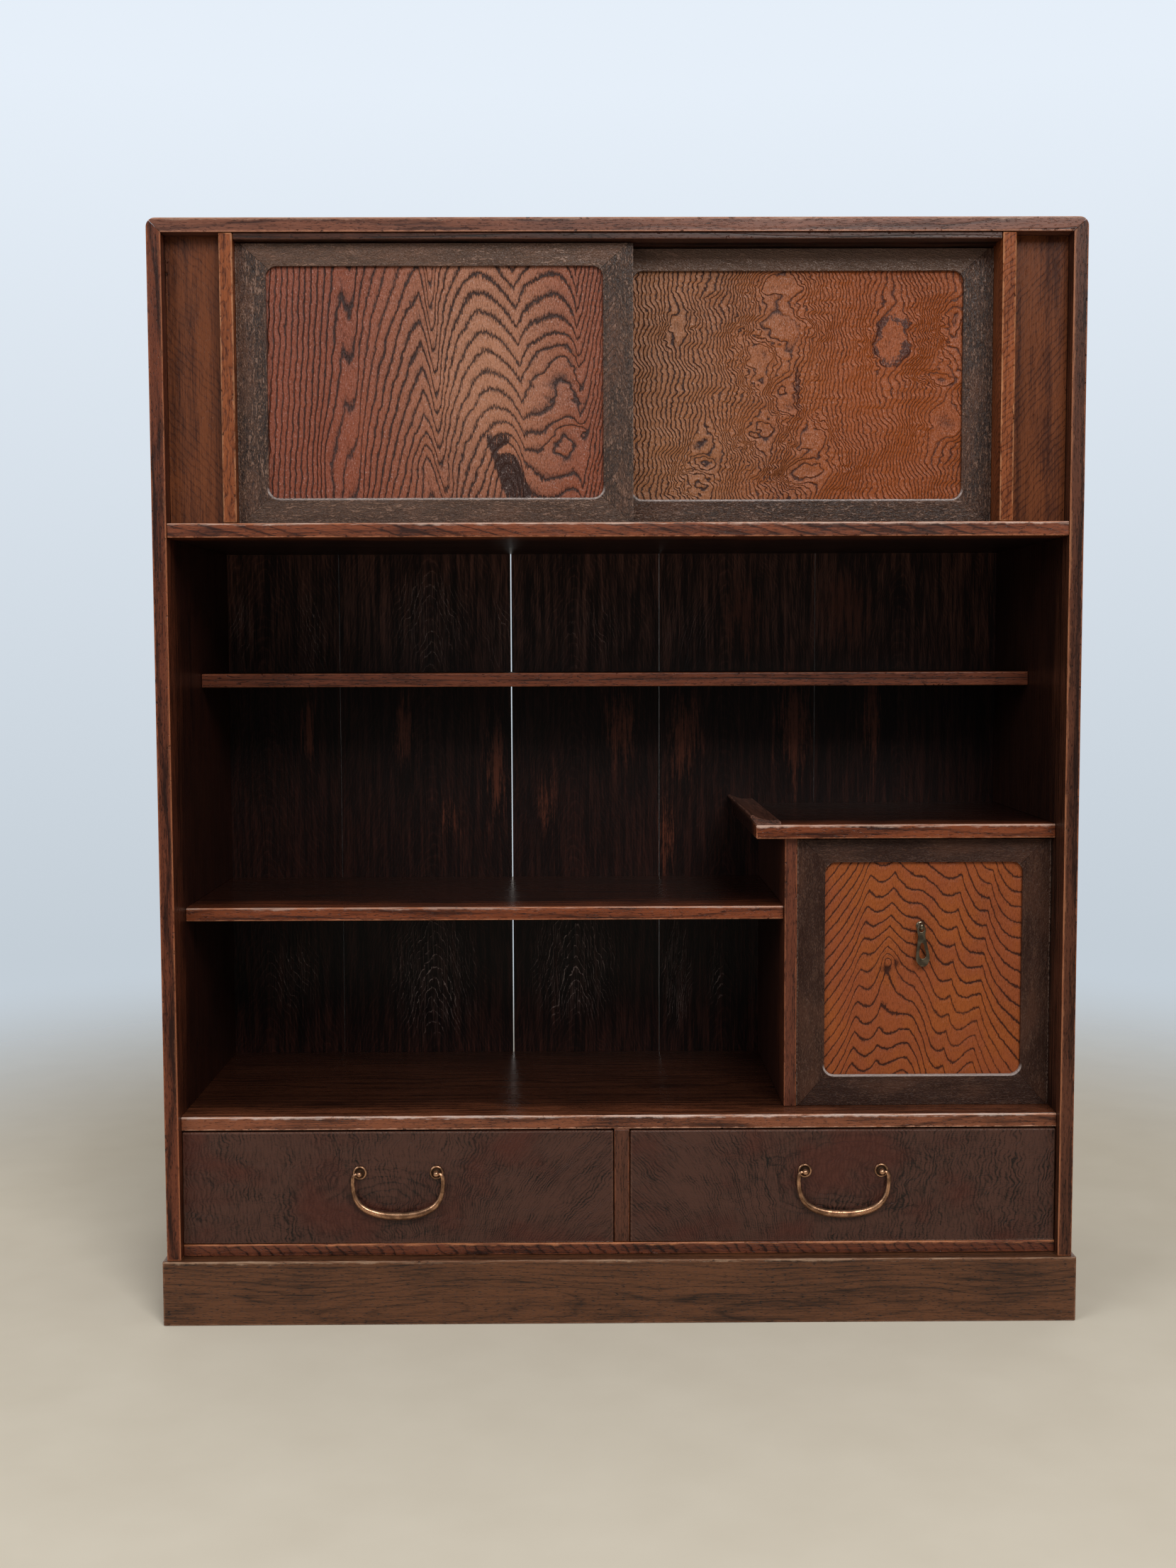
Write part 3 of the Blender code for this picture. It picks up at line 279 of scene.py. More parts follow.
# %% Colours
def paint(red, green, blue):
    """A colour as a screen shows it, from 0 to 255, turned into linear light."""
    linear = []
    for value in (red, green, blue):
        share = value / 255
        linear.append(share / 12.92 if share <= 0.04045 else ((share + 0.055) / 1.055) ** 2.4)
    return (*linear, 1.0)


def paints(**colours):
    return {name: paint(*colour) for name, colour in colours.items()}


print("brown on screen", paint(110, 60, 40)[:3])

# %% [markdown]
# The stage is a pale floor that fades into a pale room. The world is pale for the camera. For reflections it
# is pale behind the cabinet and dim in front of it, as a room is, because dark lacquer that mirrors a white
# room turns grey. Diffuse light from it is low, and lamps do the rest.

# %% The room
WALL_PALE = paint(196, 206, 215)
WALL_TOP = paint(230, 239, 249)
WALL_RISE = 2.2
WALL_START = 0.35
ROOM_DIM = 0.11
ROOM_TURN = 3
ROOM_LIGHT = (0.86, 0.83, 0.79, 1)
AMBIENT = 0.50


def make_world():
    world = bpy.data.worlds.new("room")
    bpy.context.scene.world = world
    world.use_nodes = True
    room = Nodes(world.node_tree)
    room.tree.nodes.clear()
    coords = room.add("ShaderNodeTexCoord", {}, {})
    apart = room.add("ShaderNodeSeparateXYZ", {}, {0: coords.outputs["Generated"]})
    path = room.add("ShaderNodeLightPath", {}, {})
    seen = Number(path.outputs["Is Camera Ray"])
    mirrored = Number(path.outputs["Is Glossy Ray"]) + Number(path.outputs["Is Transmission Ray"])
    behind = (Number(apart.outputs[1]) * ROOM_TURN).least(1).most(ROOM_DIM)
    other = (1 - seen - mirrored).most(0)
    strength = seen + mirrored * behind + other * AMBIENT
    height = (Number(apart.outputs[2]) * WALL_RISE + WALL_START).least(1).most(0)
    colour = room.blend(seen, ROOM_LIGHT, room.blend(height, WALL_PALE, WALL_TOP))
    light = room.add("ShaderNodeBackground", {}, {"Color": colour, "Strength": strength})
    room.add("ShaderNodeOutputWorld", {}, {"Surface": light.outputs[0]})


make_world()
print("light of the room on dull surfaces", AMBIENT)

# %% [markdown]
# Two large square lamps stand for the window, in front and to the right, and for the light that the rest of
# the room gives back. Their size makes the shadows soft.

# %% Lamps
LAMPS = {
    "window": dict(place=(0.85, -2.95, 2.6), size=1.4, power=78, colour=(1.0, 0.985, 0.96)),
    "room_fill": dict(place=(-2.1, -2.2, 1.9), size=1.6, power=28, colour=(0.96, 0.98, 1.0)),
}
AIM = Vector((0, 0, 0.62))


def make_lamp(name, place, size, power, colour):
    lamp = bpy.data.lights.new(name, "AREA")
    lamp.shape = "SQUARE"
    lamp.size = size
    lamp.energy = power
    lamp.color = colour
    holder = bpy.data.objects.new(name, lamp)
    holder.location = place
    holder.rotation_euler = (AIM - Vector(place)).to_track_quat("-Z", "Y").to_euler()
    bpy.context.scene.collection.objects.link(holder)


for name, lamp in LAMPS.items():
    make_lamp(name, **lamp)
bpy.context.scene.view_settings.view_transform = "Standard"

# %% [markdown]
# The floor is a large disc that turns see-through towards its rim, so it melts into the colour of the room
# with no horizon line. It keeps the cabinet's soft shadow, which is what makes the cabinet stand and not
# float.

# %% Floor
FLOOR_RADIUS = 2.6
FLOOR_CORNERS = 96
FLOOR_DROP = 0.0004
FLOOR_FADE = (0.75, 2.1)
FLOOR_COLOURS = (paint(209, 201, 185), paint(220, 213, 198))


def make_floor():
    bpy.ops.mesh.primitive_circle_add(vertices=FLOOR_CORNERS, radius=FLOOR_RADIUS, fill_type="NGON",
                                      location=(0, 0, -FLOOR_DROP))
    floor = bpy.context.object
    floor.name = "floor"
    finish = Finish("pale_floor")
    far = (finish.x * finish.x + finish.y * finish.y).root() / MM
    shade = finish.noise(finish.places, (90, 90, 1), detail=4)
    colour = finish.blend(shade, *FLOOR_COLOURS)
    diffuse = finish.add("ShaderNodeBsdfDiffuse", {}, {"Color": colour})
    clear = finish.add("ShaderNodeBsdfTransparent", {}, {})
    fade = finish.rise(far, *FLOOR_FADE)
    mix = finish.add("ShaderNodeMixShader", {}, {0: fade, 1: diffuse.outputs[0], 2: clear.outputs[0]})
    fill(finish.tree.nodes["Material Output"], {"Surface": mix.outputs[0]})
    floor.data.materials.append(finish.material)


make_floor()
print("floor radius", FLOOR_RADIUS)

# %% [markdown]
# Zelkova has rings of large pores, so every growth ring draws a thin dark line on the surface, followed by a
# pale band that darkens slowly towards the next line. Wherever a finish needs rings, it works out a ring
# count, a smoothly rising number, and this cell turns it into those lines. Each ring also gets its own random
# depth of colour.

# %% Growth rings
RING_LINE = [(0.0, 1.0), (0.07, 0.85), (0.17, 0.12), (0.45, 0.0), (0.80, 0.16), (0.93, 0.55), (1.0, 1.0)]
THIN_LINE = [
    (0.0, 1.0), (0.04, 0.9), (0.10, 0.15), (0.25, 0.0), (0.82, 0.0), (0.92, 0.35), (0.96, 1.0), (1.0, 1.0),
]


def ring_lines(finish, count, stops=RING_LINE, uneven=0.5):
    """Line strength from 0 to 1. Count rises by one from ring to ring."""
    line = finish.ramp(count.part(), stops)
    luck = finish.chance(count.whole() + 0.5)
    return line * (luck * uneven + (1 - uneven))


print("stops in a ring line", len(RING_LINE))

# %% [markdown]
# A plain board is cut from a log whose heart runs along the board, some way below its face. Rings are circles
# round the heart, so the count is the distance to it, and the same formula draws lines on the faces and arcs
# on the ends. Each kind of board has its own dark lines, light ground and worn edges, and pale crests along
# one front arris, partly rubbed nearly bare by hands and brushes and partly a painted highlight.

# %% Colours of the plain boards
def coats(*colours):
    """Red, green and blue of the dark lines, the light ground, the worn edges and the crests, worn pale and
    painted with a highlight.
    """
    return dict(zip(("dark", "light", "worn", "lit_crest"), (paint(*colour) for colour in colours)))


CASE_COLOURS = coats((38, 17, 11), (98, 51, 33), (150, 88, 58), (176, 112, 74))
TOP_COLOURS = coats((54, 27, 19), (112, 68, 51), (160, 108, 82), (186, 148, 126))
SHELF_COLOURS = coats((48, 20, 11), (118, 61, 36), (172, 110, 78), (204, 172, 156))
SILL_COLOURS = coats((48, 22, 13), (122, 70, 46), (186, 138, 114), (212, 190, 180))
PLINTH_COLOURS = coats((34, 20, 13), (92, 57, 36), (140, 100, 76), (170, 140, 116))
RIGHT_COLOURS = coats((32, 15, 9), (84, 48, 33), (140, 84, 56), (170, 112, 78))
# The track's colours are darkened by painted shade, as it lies in the shadow under the top board.
SHADED_TRACK_COLOURS = coats((24, 12, 9), (66, 36, 25), (110, 66, 46))
BARE_COLOURS = coats((150, 112, 74), (196, 160, 116), (205, 172, 130))
POST_COLOURS = coats((66, 28, 12), (132, 72, 40), (196, 138, 98))
FIXED_COLOURS = coats((54, 25, 14), (104, 56, 30), (128, 76, 46))
STOP_COLOURS = coats((34, 18, 12), (88, 54, 42), (146, 104, 88))
# Painted shade for the depths of the case, where little light reaches.
DEPTH_SHADE = paint(15, 6, 5)
NICK = paint(30, 14, 11)
print("coats of the case", list(CASE_COLOURS))

# %% [markdown]
# The lacquer is rubbed through along the arrises, the sharp edges where two faces meet. How near a point is
# to one comes from the board's box: it is the second smallest of the distances to the three pairs of faces.

# %% Nearness to an edge
def edge_nearness(finish, node, width):
    """1 on the edges of a node's box, falling to 0 over a width in millimetres."""
    low, high = (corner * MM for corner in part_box(node))
    depths = []
    for place, start, end in zip(finish.places, low, high):
        depths.append((end - start) / 2 - abs(place - (start + end) / 2))
    near = depths[0].least(depths[1])
    far = depths[0].most(depths[1])
    return finish.rise(near.most(far.least(depths[2])), width, 0.0)


print("top board", [round(v * MM, 1) for v in nodes["top_board"].dimensions], "mm")

# %% [markdown]
# A board's finish is laid on in the order in which it came: rings, pores and fibres of the wood, edges worn
# through the lacquer, dents, worn crests with a painted highlight, and painted shade in the depths. A noise
# breaks the worn line up, so the wear comes and goes as it does under hands.

# %% A plain board
GRAIN_AXES = {"x": "xyz", "y": "yxz", "z": "zxy"}


def board(node, grain="x", colours=CASE_COLOURS, spacing=7.0, heart=(30, 70), contrast=0.55, seed=0.0,
          wear=0.8, roughness=0.36, waves=9.0, curl=0.0, taper=0.0, depth_shade=0.0, inner=None, bars=None,
          lit_crest=0.0, pitted=0.4, patchy=0.7, shine=0.3):
    """heart is how far the middle of the log lies from the board's middle, across and below, in millimetres.
    Painted shade darkens the depths of the cabinet by the share given for it, and inner is the distance from
    the middle where that shade starts.
    bars are dark marks across an edge: their spacing, their slant and their strength. pitted darkens the
    pores, and patchy sets how far broad clouds darken and lighten the ground."""
    finish = Finish(node)
    low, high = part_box(node)
    middle = (low + high) / 2 * MM
    places = {axis: place - centre for axis, place, centre in zip("xyz", finish.places, middle)}
    along, across, deep = spot = [places[axis] for axis in GRAIN_AXES[grain]]
    drift = finish.noise(spot, (260, 70, 70), seed) - 0.5
    ripple = finish.noise(spot, (28, 14, 14), seed + 7, detail=3) - 0.5
    curls = (along / 5.5 + ripple * 9).sine() * curl
    offset = across + heart[0] + drift * (waves * 5) + ripple * 3.0
    sunk = deep + heart[1] + drift * waves * 2
    count = ((offset * offset + sunk * sunk).root() + curls + along * taper) / spacing + seed + 50
    lines = ring_lines(finish, count)
    pores = finish.noise(spot, (6, 0.9, 0.9), seed + 3, detail=1)
    fibre = finish.noise(spot, (30, 1.3, 1.3), seed + 13, detail=3, harsh=0.6)
    streaks = finish.noise(spot, (110, 6, 6), seed + 11, detail=4, harsh=0.6)
    cloud = finish.noise(spot, (90, 45, 45), seed + 21, detail=3)
    pore_marks = finish.rise(pores, 0.58, 0.66)
    tone = lines * contrast + (streaks + fibre - 1) * 1.3 + (cloud - 0.5) * patchy + pore_marks * pitted
    if bars is not None:
        gap, slant, strength = bars
        marks = ring_lines(finish, (along + (across + deep) * slant + ripple * 16) / gap + 40, uneven=0.8)
        tone = tone + marks * strength
    tone = finish.rise(tone + 0.28, 0.02, 1.0)
    finish.colour = finish.blend(tone, colours["light"], colours["dark"])
    edge = edge_nearness(finish, node, 3.0)
    rubbed = finish.even_noise(14, seed + 31, detail=4, harsh=0.65)
    bare = finish.rise(edge + (rubbed - 0.5) * 1.9, 0.5, 0.95) * wear
    finish.coat(bare, colours["worn"])
    dents = finish.even_noise(6, seed + 41)
    nicks = finish.rise(dents, 0.66, 0.74) * finish.rise(edge, 0.05, 0.5)
    finish.coat(nicks * 0.75, NICK)
    # Crests along the top front arris, or the inner front arris of an upright board: partly rubbed bare,
    # partly a painted highlight where that edge catches the light.
    if lit_crest > 0:
        above = (abs(finish.x) - (inner or 0)) if grain == "z" else high.z * MM - finish.z
        reach = above.most(finish.y - low.y * MM)
        glow = finish.rise(reach + (rubbed - 0.5) * 7, 3.2, 0.4) * finish.rise(streaks + fibre, 0.86, 1.1)
        finish.coat(glow * lit_crest, colours["lit_crest"])
    # Painted shade: the board darkens towards the back of the case, where less light reaches.
    if depth_shade > 0:
        inward = finish.y + (cloud - 0.5) * 70 + (streaks - 0.5) * 60
        depths = finish.rise(inward, low.y * MM - 2, low.y * MM + 62)
        if inner is not None:
            depths = depths * finish.rise(abs(finish.x), inner + 0.6, inner)
        finish.coat(depths * depth_shade, DEPTH_SHADE)
    polish = roughness + (cloud - 0.5) * 0.16 + lines * 0.05
    height = pore_marks * -0.35 - lines * 0.35 - nicks * 1.5 + rubbed * 0.25
    return finish.show(polish, finish.bump(height, 0.00035), shine=shine)


print("grain along", list(GRAIN_AXES))

# %% [markdown]
# One row for each plain board. The seed shifts the noise, so that no two boards are alike, and the heart says
# how the board was cut: a far heart gives straight lines, and a near one gives wide flames.

# %% The plain boards
INNER = abs(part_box("left_side_board")[1].x) * MM
BOARDS = {
    "left_side_board": dict(grain="z", heart=(-20, 60), seed=1.0, waves=7, depth_shade=0.8, inner=INNER, wear=0.6,
                            lit_crest=0.25, shine=0.2),
    "right_side_board": dict(grain="z", colours=RIGHT_COLOURS, heart=(25, 55), seed=5.0, waves=7, depth_shade=0.75,
                             inner=INNER, wear=0.65, lit_crest=0.5, shine=0.2),
    "top_board": dict(colours=TOP_COLOURS, heart=(15, 80), seed=9.0, wear=0.7, lit_crest=0.5),
    "upper_track": dict(colours=SHADED_TRACK_COLOURS, seed=12.0, wear=0.3, depth_shade=0.6),
    "floor_board": dict(seed=14.0, wear=0.5, contrast=0.2, depth_shade=0.7, bars=(12.5, 0.9, 0.8), lit_crest=0.9),
    "bottom_board": dict(colours=SILL_COLOURS, seed=16.0, wear=1.0, roughness=0.26, heart=(40, 45),
                         depth_shade=0.78, lit_crest=0.75),
    "door_floor_board": dict(colours=SHELF_COLOURS, seed=18.0, heart=(60, 22), contrast=0.4, depth_shade=0.9,
                             bars=(31, 3.6, 0.7), lit_crest=0.8),
    "thin_shelf": dict(seed=20.0, wear=0.3, depth_shade=0.9, shine=0.2),
    "middle_shelf": dict(colours=SHELF_COLOURS, seed=22.0, roughness=0.26, depth_shade=0.88, lit_crest=0.5),
    "cupboard_top_shelf": dict(colours=SHELF_COLOURS, seed=24.0, roughness=0.26, depth_shade=0.92, lit_crest=0.75),
    "cupboard_divider": dict(grain="z", seed=26.0, wear=0.6, depth_shade=0.75),
    "drawer_divider": dict(grain="z", colours=RIGHT_COLOURS, seed=28.0, wear=0.4, depth_shade=0.5),
    "plinth_front": dict(colours=PLINTH_COLOURS, seed=30.0, wear=0.5, heart=(30, 20), contrast=0.35,
                         spacing=5.0, lit_crest=0.7),
    "plinth_back": dict(colours=PLINTH_COLOURS, seed=31.0, wear=0.3),
    "plinth_left": dict(grain="y", colours=PLINTH_COLOURS, seed=32.0, wear=0.35),
    "plinth_right": dict(grain="y", colours=PLINTH_COLOURS, seed=33.0, wear=0.35),
}


def dress(piece, material):
    """Give a piece, or the CAD node of that name, its one material."""
    piece = nodes[piece] if isinstance(piece, str) else piece
    piece.data.materials.clear()
    piece.data.materials.append(material)


for node, recipe in BOARDS.items():
    dress(node, board(node, **recipe))
print("plain boards", len(BOARDS))

# %% [markdown]
# Between the shelves, hands and tea boxes have rubbed upright patches of the back down to the red wood, and
# raised grain shines in others. Each patch is a round hill, 1 in its middle and falling away smoothly. Rubbed
# and pale places are listed for the whole back, and each board takes those that lie on it.

# %% Rubbed and pale places of the back
E = 2.718
BACK_RUBBED = [
    ((-351, 584), (10, 46), 1.0), ((-241, 584), (15, 48), 1.0), ((-134, 543), (16, 72), 1.0),
    ((9, 592), (24, 52), 1.0), ((82, 575), (22, 62), 1.0), ((209, 584), (24, 74), 1.0),
    ((299, 600), (14, 60), 1.0), ((62, 461), (11, 54), 1.0), ((-77, 494), (14, 54), 0.75),
    ((150, 715), (38, 56), 1.0), ((270, 720), (44, 56), 1.0), ((-190, 480), (16, 34), 0.6),
]
BACK_SHEEN = [
    ((-209, 712), (46, 58), 1.0), ((-425, 705), (16, 50), 0.8), ((-345, 705), (24, 56), 0.7),
    ((-130, 700), (26, 60), 0.6), ((-209, 300), (56, 76), 1.0), ((-45, 310), (58, 70), 1.0),
    ((74, 300), (18, 60), 1.2), ((120, 300), (13, 50), 0.7), ((-370, 300), (50, 60), 0.6),
    ((-20, 700), (70, 56), 0.55), ((90, 700), (50, 56), 0.5), ((230, 705), (70, 56), 0.35),
]


def bulge(across, up, centre, radii):
    """A round hill of height 1 over a place, in millimetres, that falls away smoothly."""
    dx = (across - centre[0]) / radii[0]
    dz = (up - centre[1]) / radii[1]
    return E ** ((dx * dx + dz * dz) * -1)


def places_on(finish, node, listed):
    """The strongest of the listed places that reach a board, as one Number."""
    low, high = (corner.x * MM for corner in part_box(node))
    share = finish.x * 0
    for centre, radii, strength in listed:
        if low - radii[0] < centre[0] < high + radii[0]:
            share = share.most(bulge(finish.x, finish.z, centre, radii) * strength)
    return share


print("rubbed places", len(BACK_RUBBED), "pale places", len(BACK_SHEEN))

# %% [markdown]
# The back boards are nearly black, with the grain upright and a hard polish. Wherever the board was cut near
# the heart its rings make a stack of arches, and the raised grain of a few of them catches the light in pale
# threads. Rubbed and pale places are on the inside face alone. The outside faced a wall, so it has the same
# grain under dusty brown.

# %% Back boards
BACK_DARK = paint(16, 6, 5)
BACK_BROWN = paint(62, 31, 23)
BACK_RED = paint(92, 46, 29)
BACK_PALE = paint(168, 148, 140)
# Lighter copies of the dark and brown, for painted light in the upper bay.
BACK_LIT_UPPER_DARK = paint(38, 24, 20)
BACK_LIT_UPPER_BROWN = paint(118, 74, 58)
BACK_DUST = paint(84, 62, 48)
BACK_ARCHES = {1: (-400, 2.6), 2: (-209, 3.0), 3: (-45, 3.4), 4: (128, 4.2), 5: (330, 4.6)}


def back_board(index):
    node = f"back_board_{index}"
    finish = Finish(node)
    centre, steep = BACK_ARCHES[index]
    seed = 37.0 + 3 * index
    spot = finish.x, finish.z, finish.y
    drift = finish.noise(spot, (30, 60, 30), seed) - 0.5
    wobble = finish.noise(spot, (9, 11, 9), seed + 5, detail=3, harsh=0.6) - 0.5
    aside = finish.x - centre + drift * 26
    climb = (aside * aside + 90).root() * steep
    lines = ring_lines(finish, (finish.z + climb + wobble * 16) / 13 + 40, RING_LINE, 0.6)
    fibre = finish.noise(spot, (0.9, 26, 3), seed + 7, detail=3, harsh=0.65)
    streaks = finish.noise(spot, (5, 90, 9), seed + 9, detail=4, harsh=0.6)
    specks = finish.noise(spot, (2.2, 6, 3), seed + 11, detail=3, harsh=0.7)
    tone = finish.rise(lines * 0.3 + (fibre - 0.5) * 1.6 + (streaks - 0.5) * 1.8 + 0.24, 0.0, 1.0)
    # Painted light and shade: the grain is paler in the upper and lower bays and darker round the middle.
    tone = tone * (finish.rise(abs(finish.z - 520), 90, 220) * 0.5 + 0.55)
    finish.colour = finish.blend(tone, BACK_DARK, BACK_BROWN)
    # Painted light: the upper bay is lighter still, where the light reaches the top row of the back.
    upper = finish.rise(finish.z, 630, 690)
    finish.coat(upper * 0.8, finish.blend(tone, BACK_LIT_UPPER_DARK, BACK_LIT_UPPER_BROWN))
    outer_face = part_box(node)[1].y * MM
    outside = finish.rise(finish.y, outer_face - 3, outer_face - 1)
    finish.coat(outside * (tone * 0.5 + 0.35), BACK_DUST)
    rubbed = places_on(finish, node, BACK_RUBBED) * (1 - outside)
    broken = (streaks - 0.5) * 1.5 + (fibre - 0.5) * 1.7 + (specks - 0.5) * 0.8
    bare = finish.rise(rubbed * 0.9 + broken, 0.42, 1.1)
    finish.coat(bare * 0.75, BACK_RED)
    sheen = places_on(finish, node, BACK_SHEEN) * (1 - outside)
    threads = finish.rise(lines, 0.42, 0.8) * finish.rise(specks, 0.4, 0.62)
    grey = threads * 0.9 + finish.rise(fibre, 0.5, 0.7) * 0.2
    pale = finish.rise(sheen + (streaks - 0.5) * 0.6, 0.25, 0.9) * grey
    finish.coat(pale, BACK_PALE)
    height = lines * (sheen * 0.8 + 0.1) + fibre * 0.5 + specks * 0.3
    return finish.show(0.34 + (specks - 0.5) * 0.2, finish.bump(height, 0.0004), shine=0.2)


for index in BACK_ARCHES:
    dress(f"back_board_{index}", back_board(index))
print("back boards dressed", len(BACK_ARCHES))

# %% [markdown]
# Drawer sides, backs and bottoms are bare pale softwood that only shows when a drawer is out.

# %% Drawer insides
DRAWER_INSIDES = (("left_side", "y"), ("right_side", "y"), ("back", "x"), ("bottom", "x"))
for side in ("left", "right"):
    for index, (piece, grain) in enumerate(DRAWER_INSIDES):
        node = f"{side}_drawer_{piece}"
        dress(node, board(node, grain, BARE_COLOURS, spacing=4.5, contrast=0.35, seed=60.0 + index, wear=0.2,
                          roughness=0.6))
print("drawer insides dressed")

# %% [markdown]
# The show panels were chosen for their figure. On a flat-sawn face the ring lines are contours: where the log
# bulged they climb to a peak, and between bulges they dip to a point. So the ring count is a profile across
# the panel minus the height, and the profile is a curve through a few points read off as millimetres across
# and up. Peaks lean, so the place across is slid along with the height. Where a branch once grew, the rings
# close into an eye.

# %% Curves and hills in a figure
def profile(finish, across, points, width, low, high):
    """A curve through (across, level) points, smooth at the plain ones and sharp at those marked."""
    shares = [(x / width, (level - low) / (high - low), "VECTOR" if sharp else "AUTO")
              for x, level, *sharp in points]
    node = finish.add("ShaderNodeFloatCurve", {"curve": shares}, {1: across / width})
    return Number(node.outputs[0]) * (high - low) + low


def panel_place(finish, node):
    """Across from the panel's left edge, down from its top edge, and deep, in millimetres."""
    low, high = (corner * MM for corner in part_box(node))
    return finish.x - low.x, high.z - finish.z, finish.y


def eye(across, down, count, centre, radii, rings, level):
    """Bend a ring count into closed rings round a place. level is the count there, were there no eye."""
    calm = (bulge(across, down, centre, (radii[0] * 1.5, radii[1] * 1.5)) * 1.5).least(1)
    return count + (level - count) * calm + bulge(across, down, centre, radii) * rings


print("a panel is", [round(value * MM, 1) for value in nodes["left_door_panel"].dimensions], "mm")

# %% [markdown]
# The soft wood between two lines was brushed away before lacquering, so each line has a raised ridge beside
# it, and painted glints on these crests stand for the light they catch. Short upright pores and a fine
# speckle lie over everything. This one finish serves the three panels, each with its own count and colours.

# %% A figured finish
CREST_LINE = [(0.0, 0.0), (0.13, 0.0), (0.24, 1.0), (0.5, 0.35), (0.85, 0.0), (1.0, 0.0)]


def figured(finish, spot, count, light, dark, stain, seed, stops=RING_LINE, contrast=1.15, roughness=0.34,
            depth=0.0007, glitter=0.5, shine=0.35):
    """Ring lines, short upright pores and a fine speckle, in the two colours given. Beside each line stands
    a raised ridge with painted glints. stain darkens a place, and depth is how high the crests stand, in
    metres."""
    lines = ring_lines(finish, count, stops, 0.35)
    lit_crest = finish.ramp(count.part(), CREST_LINE)
    pores = finish.rise(finish.noise(spot, (0.7, 4.5, 3), seed + 3), 0.54, 0.64)
    speckle = finish.noise(spot, (1.3, 2.2, 3), seed + 5, detail=3, harsh=0.7)
    cloud = finish.noise(spot, (60, 80, 50), seed + 7, detail=3)
    tone = lines * contrast * (pores * 0.3 + 1.0) + pores * 0.24 + (speckle - 0.5) * 0.7
    tone = tone + (cloud - 0.5) * 0.6 + 0.06
    finish.colour = finish.blend(finish.rise(tone + stain, 0.0, 1.0), light, dark)
    # Painted glints: pale specks on the crests stand for light that the raised grain catches.
    glint = finish.rise(speckle, 0.46, 0.28) * (lit_crest * 0.8 + 0.2) * (1 - lines)
    finish.coat(glint * glitter, finish.blend(0.4, light, (1, 1, 1, 1)))
    height = lit_crest * 0.5 - lines * 0.9 - pores * 0.4 - speckle * 0.8
    polish = roughness + lines * 0.12 + (cloud - 0.5) * 0.1
    return finish.show(polish, finish.bump(height, depth), shine=shine)


print("stops in a crest", len(CREST_LINE))

# %% [markdown]
# The left door's panel has straight lines on its left, three families of arches on its right, and a short
# scorched streak near the foot. Dips are how far a ring climbs at each place across, in rings, and steps are
# how far apart the rings lie there, in millimetres.

# %% Left door panel
# Each pair is the colour at the panel's sides, then a paler one for a painted sheen in its middle, where the
# lacquer mirrors the light.
LEFT_PANEL_LIGHT = (paint(124, 58, 32), paint(158, 106, 78))
LEFT_PANEL_DARK = (paint(44, 17, 9), paint(52, 27, 17))
LEFT_PANEL_DIPS = [
    (0, 20.6), (30, 15.4), (62, 10.0), (70, 8.9), (77, 8.3, True), (81, 8.6), (86, 8.7), (93, 7.7),
    (100, 6.8), (112, 5.6), (119, 5.05), (126, 4.5), (133, 3.95), (140, 3.4), (146, 3.05), (152, 2.75, True),
    (156.5, 3.6), (160, 4.7), (163, 5.5), (165.5, 5.2), (169, 4.1), (174, 3.0), (179, 2.2), (184, 1.55),
    (190, 1.0), (197, 0.45), (203, 0.13), (209, 0.0), (216, 0.1), (225, 0.42), (235, 1.05), (241, 1.55),
    (245, 1.85, True), (250, 1.3), (256, 0.8), (269, 0.22), (281, 0.0), (290, 0.12), (297, 0.5), (303, 1.2),
    (306, 2.0, True), (312, 0.8), (320, -1.2), (345, -7.0),
]
LEFT_PANEL_LOOPS = [((290, 124), (15, 22), 0.9, 46.45), ((296, 180), (13, 19), 0.95, 49.4)]
LEFT_PANEL_STEPS = [
    (0, 60), (70, 58), (90, 45), (115, 34), (133, 28.5), (152, 25), (170, 21), (190, 19), (230, 18.6),
    (250, 18.2), (283, 21.5), (306, 19), (345, 19),
]


def left_door_panel():
    node = "left_door_panel"
    finish = Finish(node)
    across, down, _ = spot = panel_place(finish, node)
    drift = finish.noise(spot, (60, 75, 60), 3.0) - 0.5
    sway = finish.noise(spot, (18, 15, 30), 5.0) - 0.5
    teeth = finish.noise(spot, (1.2, 9, 9), 9.0) - 0.5
    aside = (across - 215) / 40
    lean = E ** (aside * aside * -1) * 0.09 + 0.03
    leaning = across - (down - 11) * lean + drift * 5 + sway * 2.0
    dips = profile(finish, leaning, LEFT_PANEL_DIPS, 345, -8, 22)
    step = profile(finish, across, LEFT_PANEL_STEPS, 345, 0, 80)
    loops = bulge(across, down, (160, 195), (13, 26)) * 1.2 + bulge(across, down, (62, 190), (9, 44)) * 1.2
    loops = loops + bulge(across, down, (241, 208), (16, 44)) * 2.4
    count = (down - 11 + teeth * 11) / step - dips + loops + sway * 0.5 + 41
    for centre, radii, rings, level in LEFT_PANEL_LOOPS:
        count = eye(across + sway * 26, down + drift * 30 - sway * 16, count, centre, radii, rings, level)
    slide = abs(across - 229 - (down - 168) * 0.34 + sway * 3)
    streak = finish.noise(spot, (0.9, 30, 9), 19.0)
    hollow = bulge(across, down, (236, 182), (8, 7))
    scorch = finish.rise(slide + hollow * 15, 14, 10) * finish.rise(down + streak * 16, 172, 178)
    stain = scorch * (finish.rise(streak, 0.3, 0.46) * 0.8 + 0.3)
    # Painted sheen: the panel's middle is paler, where its lacquer mirrors the light.
    painted_sheen = bulge(across, down, (215, 95), (80, 150))
    light = finish.blend(painted_sheen, *LEFT_PANEL_LIGHT)
    dark = finish.blend(painted_sheen, *LEFT_PANEL_DARK)
    return figured(finish, spot, count, light, dark, stain, seed=3.0)


dress("left_door_panel", left_door_panel())
print("left panel rings set by", len(LEFT_PANEL_DIPS), "places")

# %% [markdown]
# The right door's panel is burr wood. Its lines run upright but shiver, and many small eyes interrupt them.
# The count is simply the place across, bent by noise and slid along by each eye. It is redder towards the
# right.

